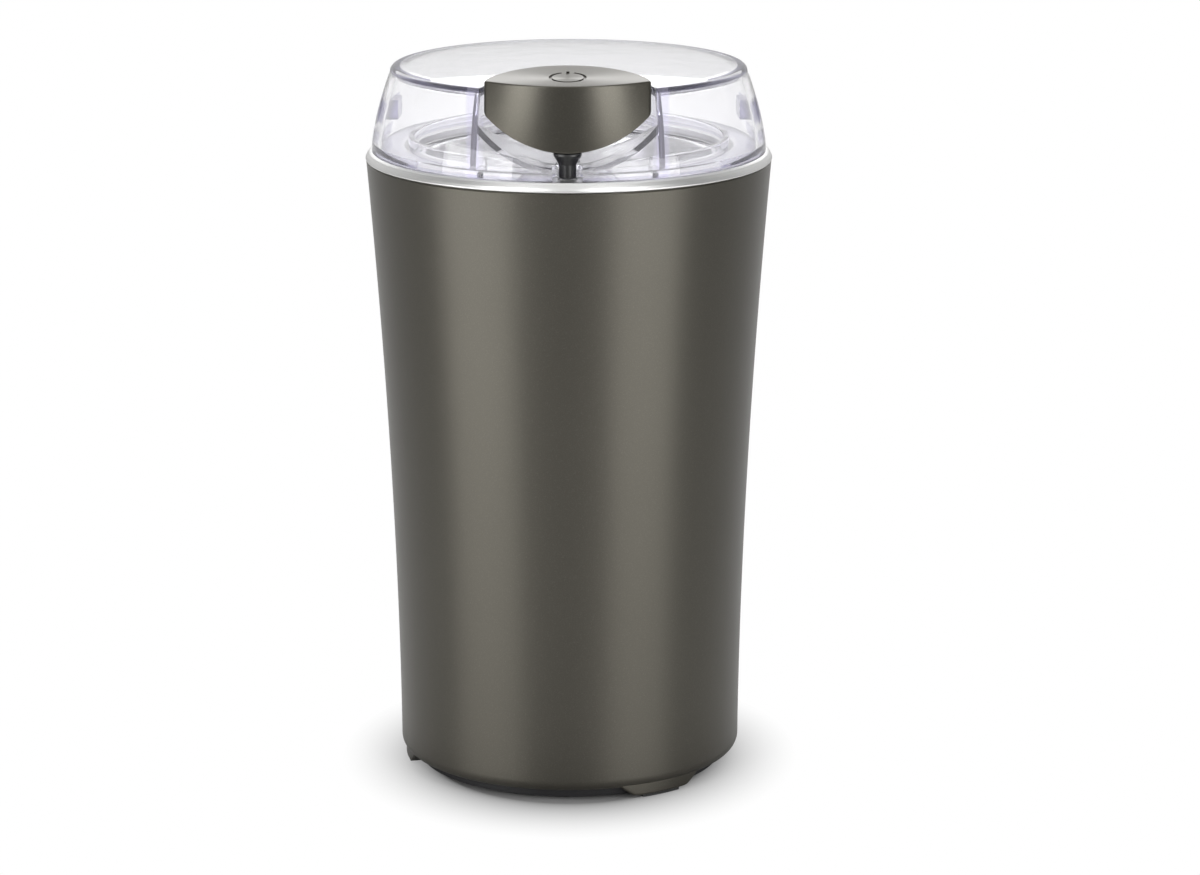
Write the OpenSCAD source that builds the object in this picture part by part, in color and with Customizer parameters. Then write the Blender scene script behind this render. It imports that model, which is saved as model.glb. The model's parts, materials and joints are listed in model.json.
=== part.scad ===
// Electric spice and coffee grinder: tapered housing on three feet, clear lid with a
// press button in its front, steel bowl with a spinning blade, and the motor below it.
// The base stands on z = 0, +Z is up and the button faces -Y.

/* [Housing] */
// How far the housing's foot stands in from the bright ring
foot_in = 7.3; // [6:0.05:8.5]
// How late the widening comes, 1 is a straight cone
flare_power = 1.8; // [1.4:0.1:2.4]
// Height of the housing wall's top edge
shell_top_z = 150.4; // [146:0.1:152]
// Thickness of the housing wall
shell_wall = 2.2; // [1.8:0.1:2.6]
// Radius of the rounding along the bottom edge
edge_round = 3; // [2:0.25:3.5]
// Width of the inward lip at the bottom
lip_w = 2; // [1.5:0.25:2.5]
// Height of the bottom edge above the table, between the feet
foot_h = 2.8; // [2.4:0.2:5]
// Angle that each foot spans
foot_span = 22; // [18:1:36]
// Direction of the first foot, from +X
foot_phase = -56; // [-70:1:-40]
// How far a foot's face stands back from the housing's foot radius
foot_step = 1; // [0.8:0.1:1.4]
// Slope of a foot's ends, from the table
foot_side = 35; // [25:5:60]
// Thickness of a foot pad
pad_h = 1.8; // [1.4:0.1:2.4]
// How far a foot pad stands out of its pocket
pad_proud = 0.6; // [0.5:0.1:1]
// Radial width of a foot pad
pad_w = 1.8; // [1.4:0.1:2]

/* [Base plate] */
// Thickness of the base plate
plate_t = 2.4; // [1.8:0.2:3]
// Distance of the base screws from the housing's foot radius
post_in = 8.95; // [8.4:0.05:9.6]
// Height of the plate's skirt above the table
plate_skirt_z = 0.6; // [0.5:0.1:2]
// Thickness of the plate's skirt
plate_skirt_t = 1.6; // [1.2:0.1:2]
// Radius of a screw post
post_r = 3.4; // [3.2:0.1:3.8]
// Height of a screw post
post_h = 19; // [14:1:24]
// Radius of a base screw's shank
base_screw_r = 1.25; // [1:0.05:1.5]
// Length of a base screw's shank
base_screw_len = 14; // [10:1:16]
// Length of a vent slot in the base plate
vent_len = 15; // [10:1:18]
// Width of a vent slot in the base plate
vent_w = 2; // [1.5:0.25:3]
// Number of vent slots in the base plate
vent_count = 9; // [5:1:11]

/* [Cord inlet] */
// Height of the cord inlet above the table
inlet_z = 16; // [14:0.5:20]
// Radius of the cord inlet's bore
inlet_bore_r = 3.1; // [2.6:0.1:3.2]
// Radius of the gland's neck in the housing wall
gland_neck_r = 4.6; // [4.2:0.1:5]
// Radius of the gland's flanges
gland_flange_r = 6.4; // [6:0.1:7]
// Thickness of a gland flange
gland_flange_t = 1.5; // [1:0.1:2]

/* [Top ring] */
// Widest radius of the bright top ring
ring_r = 49.05; // [49:0.05:49.6]
// Height of the ring above the housing wall
ring_h = 2.2; // [2:0.1:4.2]
// Radial depth of the ring's sloping face
ring_slope = 0.85; // [0.6:0.05:1.2]
// Radial width of the ring's rounded shoulder
ring_shoulder = 0.55; // [0.4:0.05:0.8]
// How far the ring stands out over the housing's top edge
ring_proud = 0.15; // [0.1:0.05:0.3]
// Width of the ring's flat top with its slope
ring_land_w = 9.45; // [9:0.05:9.6]
// Thickness of the ring's land
ring_t = 1.2; // [1:0.1:1.4]
// Thickness of the ring's skirt inside the housing
ring_skirt_t = 0.6; // [0.4:0.1:0.7]

/* [Bowl and carrier] */
// Width of the bowl's rim
rim_w = 3.7; // [3.4:0.1:4.5]
// Depth of the bowl
bowl_depth = 43.6; // [40:0.2:45]
// Thickness of the bowl's sheet
bowl_t = 0.8; // [0.6:0.1:1]
// Radius of the bend around the bowl's floor
bowl_bend = 11; // [8:0.5:13]
// Space around the bowl's rim inside the ring
rim_clear = 0.4; // [0.3:0.05:0.6]
// Drop from the ring's land to the bowl's rim
rim_drop = 2; // [1.8:0.1:2.4]
// Thickness of the rim gasket
gasket_t = 0.6; // [0.4:0.1:1]
// Thickness of the carrier's wall
carrier_wall = 1.8; // [1.4:0.1:2]
// Thickness of the carrier's floor and flange
carrier_t = 2.5; // [2:0.1:3]
// Drop from the housing's top edge to the carrier's flange
flange_drop = 13.7; // [12.9:0.1:14.9]
// Space under the bowl for the screw heads
bowl_air = 3.2; // [3:0.1:4]

/* [Blade and seal] */
// Radius of the motor shaft
shaft_r = 2.5; // [2:0.1:2.8]
// Reach of the blade's flat middle
blade_flat = 14; // [11:0.5:15]
// Space between the blade's reach and the bowl's wall
blade_air = 5.5; // [4:0.25:8]
// Width of the blade
blade_w = 9; // [7:0.5:11]
// Thickness of the blade
blade_t = 1.6; // [1:0.1:2]
// Upward bend of the blade's tips
blade_bend = 22; // [10:1:30]
// Height of the collar under the blade
collar_h = 3; // [2.5:0.1:4]
// Radius of the collar under the blade
collar_r = 5.5; // [5:0.1:6.5]
// Width across the nut's corners
nut_corner_w = 9.2; // [8.4:0.2:11]
// Height of the nut's hexagon
nut_h = 3; // [2.4:0.1:3.6]
// Radius of the shaft seal's flange
seal_r = 8.5; // [7.5:0.1:9.5]
// Radius of the shaft seal's neck
seal_neck_r = 5; // [4.6:0.1:5.5]

/* [Motor, at its full size] */
// Foot radius of the housing that the motor's full size suits
full_base_r = 41.75; // [41:0.25:45]
// Radius of the armature
full_armature_r = 14.5; // [13:0.25:15]
// Height of the laminated stacks
stack_h = 28; // [24:1:30]
// Space between the windings and the cooling fan
fan_air = 3.3; // [3:0.1:5]
// Air gap between armature and stator
air_gap = 0.4; // [0.3:0.05:0.6]
// Length of the stator along X
full_stator_x = 54; // [52:0.5:56]
// Width of the stator along Y
full_stator_y = 46; // [45:0.5:47]
// Thickness of the stator's yoke
full_yoke_t = 6; // [5.5:0.1:6.5]
// Width of a field pole
full_pole_w = 16; // [14:0.5:17]
// Wound thickness of a field coil
full_coil_t = 4.6; // [4:0.1:5]
// Number of armature slots
slot_count = 12; // [8:1:14]
// Radius of the commutator
full_commutator_r = 8; // [7:0.25:8.5]
// Height of the commutator
commutator_h = 12; // [10:0.5:13]
// Radius of the cooling fan
full_fan_r = 16; // [14:0.25:16.3]
// Height of the cooling fan
fan_h = 8; // [6:0.5:8.5]
// Number of fan blades
fan_blades = 9; // [7:1:12]
// Radius of the motor's end brackets
full_bracket_r = 28; // [27.5:0.25:28.5]
// Thickness of the motor's end brackets
bracket_t = 3; // [2.4:0.1:3.4]
// Radius of the lower bracket's plate
full_lower_r = 25.5; // [25:0.25:26]
// Radius on which the stator's corners are turned off
full_corner_r = 30; // [29.5:0.25:30.5]
// Radius of the bearings
full_bearing_r = 8; // [7:0.25:8.5]
// Height of the bearings
bearing_h = 6; // [5:0.25:7]
// Distance of a motor bolt from the shaft
full_bolt_offset = 20; // [19.8:0.1:20.2]
// Radius of a motor bolt
bolt_r = 1.5; // [1.25:0.05:1.75]
// Radius of the circle of rubber mounts
full_mount_circle_r = 24; // [23.5:0.25:24.25]
// Height of a rubber mount
mount_h = 3.4; // [3:0.1:4]
// Width of a carbon brush
full_brush_w = 6; // [5:0.25:6.5]
// Height of a carbon brush
brush_h = 8; // [7:0.25:8.5]
// Length of a carbon brush
full_brush_len = 11; // [9:0.5:12]

/* [Switch] */
// Length of the switch body
switch_l = 27.8; // [26:0.2:28.4]
// Thickness of the switch body
switch_t = 10.3; // [9.5:0.1:10.8]
// Height of the switch body
switch_h = 15.9; // [14:0.1:17]
// Distance of the switch body's back from the housing's foot radius
switch_in = 14.45; // [14.2:0.05:14.55]
// Height of the switch body's lower face above the stacks' lower face
switch_rise = 24; // [22:0.5:25]
// Distance along X from the lever's pivot to the rod's foot
lever_reach = 19; // [18:0.5:20]
// Thickness of the lever
lever_t = 0.5; // [0.4:0.1:0.7]
// Width of the lever
lever_w = 4.5; // [3.5:0.25:5]
// Rest angle of the lever above level
lever_rest = 12.1; // [12:0.1:13]
// Radius of the switch rod
rod_r = 1.5; // [1.3:0.05:1.55]
// How far the switch rod stands in from the plunger
rod_in = 1.9; // [1.8:0.05:2]

/* [Button] */
// Half width of the button
button_half_w = 19.6; // [18:0.2:20]
// Radius of the button's rear curve
button_rear_r = 20.3; // [20:0.1:21]
// Distance of the rear curve's centre from the lid's outside
button_in = 4.7; // [4.3:0.1:5.1]
// Height of the button's front top edge above the lid's rim
button_rise = 1.1; // [0.7:0.1:1.7]
// Tilt of the button's top, rising to the rear
button_tilt = 6.5; // [4:0.5:8]
// Height of the button's lowest point above the lid's lower edge
button_lift = 6.2; // [5.9:0.1:6.7]
// Radius of the curve along the button's lower edge
button_curve_r = 27.1; // [26:0.1:29]
// Thickness of the button's walls
button_wall = 1.8; // [1.4:0.1:2.2]
// Travel of the button
travel = 3.2; // [2.4:0.1:3.3]
// Distance of the plunger from the ring's outside
plunger_in = 6.55; // [6.45:0.05:6.65]
// Radius of the plunger's wide part
plunger_r = 3.35; // [3:0.05:3.4]
// Radius of the plunger's tip
plunger_tip_r = 2.05; // [1.8:0.05:2.1]
// Outer radius of the power symbol's ring
symbol_r = 4.4; // [3.5:0.1:5]
// Line width of the power symbol
symbol_w = 0.7; // [0.5:0.1:1]
// Depth of the power symbol
symbol_depth = 0.35; // [0.2:0.05:0.6]

/* [Lid] */
// How far the lid's lower edge stands in from the ring
lid_step = 1.55; // [1.45:0.05:2.05]
// How far the lid's side draws in towards the top
lid_taper = 5.09; // [4.8:0.05:5.4]
// How late the lid's side draws in
lid_power = 1.5; // [1.3:0.05:1.8]
// Height of the lid's side
lid_side_h = 20; // [19.6:0.1:20.4]
// Rise of the lid's top from its rim to its middle
lid_crown = 1.7; // [1:0.1:2]
// Radius of the rounding around the lid's top
lid_round = 1.4; // [1:0.1:1.8]
// Thickness of the lid
lid_t = 2.2; // [1.8:0.1:2.4]
// Radial width of the lid's seating skirt
lid_skirt_t = 1.5; // [1.2:0.1:1.8]
// Clear space around the button in its pocket
pocket_gap = 0.8; // [0.6:0.1:1]
// Thickness of the pocket's rear wall and floor
pocket_wall = 1.5; // [1.2:0.1:1.8]
// Half width of the pocket box
pocket_half_w = 23.1; // [22.8:0.1:23.6]
// Width of a lug inside the lid's side
lug_w = 9; // [7:0.5:11]

/* [Springs] */
// Wire radius of the springs
wire_r = 0.35; // [0.3:0.01:0.38]
// Mean radius of the button's spring
button_spring_r = 2.45; // [2.3:0.05:2.7]
// Turns of the button's spring
button_spring_turns = 7; // [5:1:8]
// Distance of the button's spring from the plunger
spring_in = 9.5; // [8.5:0.25:10.5]
// Mean radius of the rod's spring
rod_spring_r = 2.1; // [2.05:0.05:2.2]
// Turns of the rod's spring
rod_spring_turns = 7; // [5:1:8]
// Mean radius of a brush spring
brush_spring_r = 1.9; // [1.6:0.05:2]
// Turns of a brush spring
brush_spring_turns = 4; // [3:1:4]

/* [Fits] */
// Gap between moving pieces and between curved neighbours
gap = 0.3; // [0.25:0.05:0.35]
// Radial play of a shaft, pin or screw in its hole
play = 0.06; // [0.03:0.01:0.09]

/* [Hidden] */
$fn = 96;

// housing
base_r = ring_r - foot_in;
flare = ring_r - ring_proud - base_r;
post_circle_r = base_r - post_in;
foot_count = 3;
foot_bottom_z = pad_proud;
pocket_top_z = pad_h;
foot_slant = foot_h - foot_bottom_z;
foot_blend = atan(foot_slant / tan(foot_side) / base_r);
foot_chamfer = 0.5;
foot_r = base_r - foot_step;
shell_steps = 16;
plate_top_z = foot_h + plate_t + 0.8;
plate_bottom_z = plate_top_z - plate_t;
lip_chamfer = 2;
lip_top_z = plate_top_z + 0.4;
lip_r = base_r - shell_wall - lip_w;
foot_in_r = lip_r + 0.4;
plate_r = lip_r - gap;
rib_t = 2;
big = 200;
coil_rings = 8;
coil_sides = 6;
mite = 0.01;

function shell_r(z) = base_r + flare * pow(max(z, 0) / shell_top_z, flare_power);
function shell_in_r(z) = shell_r(z) - shell_wall;

// ring, bowl and carrier, from the top down
land_z = shell_top_z + ring_h;
land_r = ring_r - ring_slope - ring_shoulder;
ring_bore_r = ring_r - ring_land_w;
bowl_rim_r = ring_bore_r - rim_clear;
bowl_r = bowl_rim_r - rim_w;
rim_z = land_z - rim_drop;
bowl_floor_z = rim_z - bowl_depth;
gasket_z = rim_z - bowl_t - gasket_t;
seat_h = 3.2;
carrier_in_r = bowl_r + bowl_t + gap;
carrier_out_r = carrier_in_r + carrier_wall;
carrier_floor_z = bowl_floor_z - bowl_t - bowl_air - carrier_t;
flange_top_z = shell_top_z - flange_drop;
flange_z = flange_top_z - carrier_t;
flange_r = shell_in_r(flange_z) - gap;
ledge_h = 2;
ledge_w = 1.9;
skirt_out_r = shell_in_r(flange_top_z) - gap;

// blade stack
blade_tip = bowl_r - blade_air - blade_flat;
seal_flange_t = 1.2;
seal_neck_len = 3;
seal_top_z = bowl_floor_z + seal_flange_t;
collar_z = seal_top_z + gap;
blade_z = collar_z + collar_h;
nut_z = blade_z + blade_t;
shaft_top_z = nut_z + nut_h;
nut_cap_r = 3.4;
nut_cap_h = 1.6;

// motor, drawn in with the housing's foot
motor_share = base_r / full_base_r;
armature_r = full_armature_r * motor_share;
stator_x = full_stator_x * motor_share;
stator_y = full_stator_y * motor_share;
yoke_t = full_yoke_t * motor_share;
pole_w = full_pole_w * motor_share;
coil_t = full_coil_t * motor_share;
commutator_r = full_commutator_r * motor_share;
fan_r = full_fan_r * motor_share;
bracket_r = full_bracket_r * motor_share;
bearing_r = full_bearing_r * motor_share;
bolt_offset = full_bolt_offset * motor_share;
mount_circle_r = full_mount_circle_r * motor_share;
brush_w = full_brush_w * motor_share;
brush_len = full_brush_len * motor_share;
mount_z = carrier_floor_z - mount_h;
upper_bracket_z = mount_z - bracket_t;
fan_top_z = upper_bracket_z - 1.8;
fan_z = fan_top_z - fan_h;
winding_h = 7;
winding_r = armature_r - 2.1;
stack_top_z = fan_z - fan_air - winding_h;
stack_z = stack_top_z - stack_h;
winding_air = 3;
commutator_z = stack_z - winding_h - winding_air - commutator_h;
commutator_air = 4;
lower_bracket_top_z = commutator_z - commutator_air;
lower_bracket_z = lower_bracket_top_z - bracket_t;
lower_bearing_z = lower_bracket_top_z - bearing_h;
cup_floor = 1.5;
cup_wall = 2;
shaft_z = lower_bearing_z + 0.5;
lower_bracket_r = full_lower_r * motor_share;
tube_r = 3;
window_x = stator_x - 2 * yoke_t;
window_y = stator_y - 2 * yoke_t;
stator_corner_r = full_corner_r * motor_share;
coil_gap = 0.4;
coil_x = window_x / 2 - 0.4 - coil_t;
coil_side = 3.8;
coil_over = 5;
bolt_head_r = 2.8;
bolt_head_h = 2;
mount_angles = [90, 210, 330];
vent_angles = [0, 30, 150, 180, 270];
air_hole_r = 2.6;
mount_r = 4;
mount_screw_r = 1.5;
mount_head_r = 3;
mount_head_h = 2;

// brushes
brush_z = commutator_z + commutator_h / 2;
holder_wall = 1.4;
brush_gap = 0.15;
holder_x = commutator_r + 2.5;
holder_len = brush_len + 4;
holder_in = 2;
brush_x = commutator_r + brush_gap;
cap_t = 1;
spring_air = 0.1;
brush_spring_low = brush_x + brush_len + wire_r + spring_air;
brush_spring_high = holder_x + holder_len - cap_t - wire_r - spring_air;

// switch
plunger_offset = ring_r - plunger_in;
rod_offset = plunger_offset - rod_in;
switch_back = base_r - switch_in;
switch_z = stack_z + switch_rise;
switch_top_z = switch_z + switch_h;
switch_mid_y = -switch_back - switch_t / 2;
pivot_x = -11;
pivot_z = switch_top_z + 2.2;
pivot_r = 0.6;
curl_wall = 0.65;
ear_t = 1.4;
pin_reach = 6;
pin_x = pivot_x + pin_reach;
switch_pin_r = 0.8;
switch_pin_gap = 0.4;
foot_x = pivot_x + lever_reach;
pin_top_z = pivot_z - lever_t / 2 / cos(lever_rest) + pin_reach * tan(lever_rest) - switch_pin_gap;
lever_over = 2.2;
foot_nose_r = 1;
arm_h = 3;
arm_w = 3.4;
foot_z = pivot_z + lever_t / 2 / cos(lever_rest) + lever_reach * tan(lever_rest) + gap + 0.1;
arm_z = foot_z + foot_nose_r;
bracket_plate_t = 1.6;
bracket_half_w = 15.5;
bracket_gap = 0.2;
stem_half_w = 5;
tab_len = 9;
tab_screw_y = -switch_back + 4.6;
bracket_notch_y = bracket_r - switch_back + bracket_gap + bracket_plate_t + gap;
hole_spread = 22.2;
hole_rise = 10.3;
hole_low = 2.8;
small_screw_r = 1.45;
small_head_r = 2.6;
small_head_h = 1.6;
rod_top_z = land_z - 0.1;
rod_head_z = rod_top_z - 5;
rod_spring_low = flange_top_z + spring_air + wire_r;
rod_spring_high = rod_head_z - spring_air - wire_r;
rod_notch_r = rod_spring_r + wire_r + 0.55;

// lid, button and pocket
lid_r = ring_r - lid_step;
lid_z = land_z + gap;
lid_rim_z = lid_z + lid_side_h;
button_centre = lid_r - button_in;
button_front_z = lid_rim_z + button_rise;
button_low_z = lid_z + button_lift;
button_spring_offset = plunger_offset - spring_in;
lid_steps = 10;
lid_shoulder_t = 1.5;
lid_skirt_out_r = ring_bore_r - 3 * gap;
lid_skirt_z = rim_z + 0.4;
lid_skirt_top_z = lid_z + lid_shoulder_t + 1.6;
pocket_in_half_w = button_half_w + pocket_gap + 0.4;
pocket_low_z = button_low_z - travel - 0.6;
pocket_curve_r = button_curve_r + 0.4;
pocket_box_z = lid_z + 0.5;
button_inset = 0.25;
plunger_low_z = land_z + gap;
plunger_cone_z = land_z + travel + gap;
plunger_cone_h = 2.2;
plunger_top_z = button_low_z - 0.2;
plunger_stem_r = 1.8;
plunger_stem_h = 4.8;
plunger_boss_r = 3;
spring_low_z = pocket_low_z + 0.15 + wire_r;
spring_seat_z = button_low_z + 7.2;
spring_high_z = spring_seat_z - 0.15 - wire_r;
spring_boss_r = 3.3;
peg_r = 1.6;
peg_h = 3;
guide_r = plunger_r + 0.15;
symbol_y = -button_spring_offset - 0.5;
lug_low_z = lid_z + 7.2;
lug_h = 4.7;
lug_depth = 3.4;
rib_depth = 1;
rib_low_z = lid_z + 2;
rib_ring_h = 3.4;

function lid_side_r(z) =
    lid_r - lid_taper * pow(min(max((z - lid_z) / lid_side_h, 0), 1), lid_power);
function button_top_z(y) = button_front_z
    + (y + lid_side_r(button_front_z) - button_inset) * tan(button_tilt);

// ---------- shared shapes ----------

module ring_solid(r_out, r_in, z, h) {
    translate([0, 0, z]) difference() {
        cylinder(r = r_out, h = h);
        translate([0, 0, -1]) cylinder(r = r_in, h = h + 2);
    }
}

module at_circle(r, angles) {
    for (a = angles) rotate([0, 0, a]) translate([r, 0, 0]) children();
}

// cylinder whose axis lies along Y, from the given centre
module y_rod(r, x, y, z, len) {
    translate([x, y, z]) rotate([90, 0, 0]) cylinder(r = r, h = len, center = true);
}

module x_rod(r, x, y, z, len) {
    translate([x, y, z]) rotate([0, 90, 0]) cylinder(r = r, h = len);
}

// screw with its head at the origin and its shank up
module screw_up(head_r, head_h, shank_r, shank_len) {
    difference() {
        union() {
            cylinder(r = head_r, h = head_h);
            translate([0, 0, head_h - mite]) cylinder(r = shank_r, h = shank_len + mite);
        }
        for (a = [0, 90]) rotate([0, 0, a])
            translate([-head_r * 0.6, -0.35, -mite]) cube([head_r * 1.2, 0.7, head_h * 0.55]);
    }
}

// one unbroken tube wound as a helix: 8 rings to a turn, 6 sides
function coil_pitch(low, high, turns) = (high - low) / turns;
function coil_centre(i, r, low, pitch) =
    let (a = i * 360 / coil_rings) [r * cos(a), r * sin(a), low + pitch * i / coil_rings];
function coil_ring(i, r, low, pitch) =
    let (a = i * 360 / coil_rings, c = coil_centre(i, r, low, pitch), rise = atan(pitch / (2 * PI * r)))
    [for (k = [0:coil_sides - 1]) let (b = k * 360 / coil_sides)
        c + wire_r * (cos(b) * [cos(a), sin(a), 0]
            + sin(b) * [sin(a) * sin(rise), -cos(a) * sin(rise), cos(rise)])];
function coil_gap_of(r, low, high, turns) =
    let (n = turns * coil_rings, pitch = coil_pitch(low, high, turns),
        c = [for (i = [0:n]) coil_centre(i, r, low, pitch)])
    min([for (i = [0:n], j = [i + coil_rings / 2:1:min(n, i + 2 * coil_rings)]) norm(c[i] - c[j])])
        - 2 * wire_r;

module coil_spring(r, low, high, turns) {
    n = turns * coil_rings;
    pitch = coil_pitch(low, high, turns);
    points = [for (i = [0:n]) each coil_ring(i, r, low, pitch)];
    sides = [for (i = [0:n - 1], k = [0:coil_sides - 1])
        let (p = i * coil_sides + k, q = i * coil_sides + (k + 1) % coil_sides)
        each [[p, p + coil_sides, q], [q, p + coil_sides, q + coil_sides]]];
    start = [for (k = [1:coil_sides - 2]) [0, k, k + 1]];
    last = n * coil_sides;
    end = [for (k = [1:coil_sides - 2]) [last, last + k + 1, last + k]];
    polyhedron(points = points, faces = concat(sides, start, end), convexity = 10);
}

// ---------- housing ----------

module shell_section() {
    r0 = shell_r(foot_h + edge_round);
    step = (shell_top_z - foot_h - edge_round) / shell_steps;
    in_low = lip_top_z + lip_chamfer;
    in_step = (shell_top_z - in_low) / shell_steps;
    polygon(concat(
        [[lip_r, foot_h]],
        [for (a = [-90:15:0]) [r0 - edge_round + edge_round * cos(a),
            foot_h + edge_round + edge_round * sin(a)]],
        [for (i = [1:shell_steps]) let (z = foot_h + edge_round + i * step) [shell_r(z), z]],
        [for (i = [0:shell_steps]) let (z = shell_top_z - i * in_step) [shell_in_r(z), z]],
        [[lip_r, lip_top_z]]));
}

module foot() {
    span = foot_span + 2 * foot_blend;
    difference() {
        rotate([0, 0, -span / 2]) rotate_extrude(angle = span)
            polygon([[foot_in_r, foot_bottom_z], [foot_r - foot_chamfer, foot_bottom_z],
                [foot_r, foot_bottom_z + foot_chamfer], [foot_r, foot_h + edge_round],
                [foot_in_r, foot_h + edge_round - 1]]);
        for (s = [-1, 1]) rotate([0, 0, s * foot_span / 2])
            translate([lip_r - 1, 0, foot_bottom_z]) rotate([s * foot_side, 0, 0])
                translate([0, s > 0 ? 0 : -big, -big]) cube([lip_w + shell_wall + 4, big, big]);
        foot_pad_shape(play * 2, pocket_top_z + play);
    }
}

module foot_pad_shape(grow, top_z) {
    pad_mid = (foot_in_r + foot_r) / 2;
    span = foot_span - 7 + grow * 2;
    rotate([0, 0, -span / 2]) rotate_extrude(angle = span)
        translate([pad_mid - pad_w / 2 - grow, 0]) square([pad_w + 2 * grow, top_z]);
}

function foot_angles() = [for (i = [0:foot_count - 1]) foot_phase + i * 360 / foot_count];
function post_angles() = [for (a = foot_angles()) a + 180 / foot_count];

module outer_shell() color([0.39, 0.38, 0.36]) {
    difference() {
        union() {
            rotate_extrude() shell_section();
            for (a = foot_angles()) rotate([0, 0, a]) foot();
            carrier_ledge();
            at_circle(post_circle_r, post_angles()) screw_post();
        }
        at_circle(post_circle_r, post_angles()) translate([0, 0, plate_top_z - mite])
            cylinder(r = base_screw_r + play, h = base_screw_len + 1);
        y_rod(gland_neck_r + play, 0, base_r, inlet_z, 4 * shell_wall);
    }
}

module screw_post() {
    reach = shell_in_r(plate_top_z + lip_chamfer) - post_circle_r;
    translate([0, 0, plate_top_z]) {
        cylinder(r = post_r, h = post_h);
        translate([0, -rib_t / 2, lip_chamfer + 1]) cube([reach + 0.6, rib_t, post_h - lip_chamfer - 3]);
    }
}

// shelf inside the housing that carries the bowl carrier's flange
module carrier_ledge() {
    wall = shell_in_r(flange_z) + shell_wall / 2;
    in_r = shell_in_r(flange_z) - ledge_w;
    rotate_extrude() polygon([[in_r, flange_z], [wall, flange_z],
        [wall, flange_z - ledge_h - ledge_w], [in_r, flange_z - ledge_h]]);
}

module foot_pads() color([0.12, 0.12, 0.12])
    for (a = foot_angles()) rotate([0, 0, a]) foot_pad_shape(0, pad_h);

// ---------- base plate ----------

module base_plate() color([0.2, 0.2, 0.19]) difference() {
    union() {
        translate([0, 0, plate_bottom_z]) cylinder(r = plate_r, h = plate_t);
        ring_solid(plate_r, plate_r - plate_skirt_t, plate_skirt_z, plate_bottom_z - plate_skirt_z + mite);
    }
    at_circle(post_circle_r, post_angles()) translate([0, 0, plate_bottom_z - mite]) {
        cylinder(r = base_screw_r + 0.3, h = plate_t + 1);
        cylinder(r = post_r - 0.3, h = plate_t / 2 + mite);
    }
    vent_pitch = 2 * vent_w;
    for (i = [0:vent_count - 1])
        translate([(i - (vent_count - 1) / 2) * vent_pitch, 0, plate_bottom_z - 1])
            linear_extrude(plate_t + 2) vent_slot();
}

module vent_slot() {
    translate([-vent_w / 2, -vent_len / 2]) square([vent_w, vent_len]);
    for (s = [-1, 1]) translate([0, s * vent_len / 2]) circle(r = vent_w / 2, $fn = 32);
}

module base_screws() color([0.6, 0.6, 0.6]) {
    head_h = plate_t / 2 - 0.1;
    at_circle(post_circle_r, post_angles()) translate([0, 0, plate_bottom_z + 0.1])
        screw_up(post_r - 0.5, head_h, base_screw_r, base_screw_len + plate_t / 2 - 1);
}

// ---------- cord inlet ----------

module cord_gland() color([0.1, 0.1, 0.1]) {
    out_y = base_r + 0.25;
    in_y = base_r - shell_wall - 1.2;
    difference() {
        union() {
            y_rod(gland_neck_r, 0, (out_y + in_y) / 2, inlet_z, out_y - in_y + 1);
            y_rod(gland_flange_r, 0, out_y + gland_flange_t / 2, inlet_z, gland_flange_t);
            y_rod(gland_flange_r, 0, in_y - gland_flange_t / 2, inlet_z, gland_flange_t);
        }
        y_rod(inlet_bore_r, 0, base_r, inlet_z, 12 * shell_wall);
    }
}

// suppression capacitor, standing on the base plate behind the motor
module capacitor() color([0.75, 0.6, 0.15]) {
    cap_w = 18;
    cap_d = 5;
    cap_h = 12;
    cap_air = 1;
    translate([-cap_w / 2, lower_bracket_r + cap_air, plate_top_z]) cube([cap_w, cap_d, cap_h]);
}

// ---------- top ring ----------

module top_ring() color([0.86, 0.86, 0.86]) difference() {
    rotate_extrude() union() {
        polygon([[ring_r - 1.9, shell_top_z], [ring_r - ring_proud, shell_top_z],
            [ring_r, shell_top_z + ring_h * 0.14], [ring_r - ring_slope * 0.35, shell_top_z + ring_h * 0.45],
            [ring_r - ring_slope, land_z - ring_h * 0.2],
            [ring_r - ring_slope - ring_shoulder * 0.4, land_z - ring_h * 0.06], [land_r, land_z],
            [ring_bore_r, land_z], [ring_bore_r, land_z - ring_t], [ring_r - 1.9, land_z - ring_t]]);
        translate([skirt_out_r - ring_skirt_t, flange_top_z])
            square([ring_skirt_t, land_z - ring_t / 2 - flange_top_z]);
    }
    translate([0, -plunger_offset, land_z - 2 * ring_t])
        cylinder(r = plunger_tip_r + 0.25, h = 3 * ring_t);
}

// ---------- bowl ----------

module bowl() color([0.8, 0.8, 0.8]) rotate_extrude() difference() {
    bowl_half(bowl_r + bowl_t, bowl_bend + bowl_t, bowl_floor_z - bowl_t, bowl_rim_r);
    bowl_half(bowl_r, bowl_bend, bowl_floor_z, 0);
    translate([0, bowl_floor_z - 2 * bowl_t]) square([seal_neck_r + play, 4 * bowl_t]);
}

module bowl_half(r, bend, low, rim_r) {
    translate([0, low]) square([r - bend, rim_z - low]);
    translate([0, low + bend]) square([r, rim_z - low - bend + (rim_r > 0 ? 0 : 1)]);
    intersection() {
        translate([r - bend, low + bend]) circle(r = bend);
        translate([r - bend, low]) square([bend, bend]);
    }
    if (rim_r > 0) translate([0, rim_z - bowl_t]) square([rim_r, bowl_t]);
}

module rim_gasket() color([0.3, 0.3, 0.3])
    ring_solid(bowl_rim_r - 0.2, carrier_in_r + 0.4, gasket_z, gasket_t);

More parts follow.
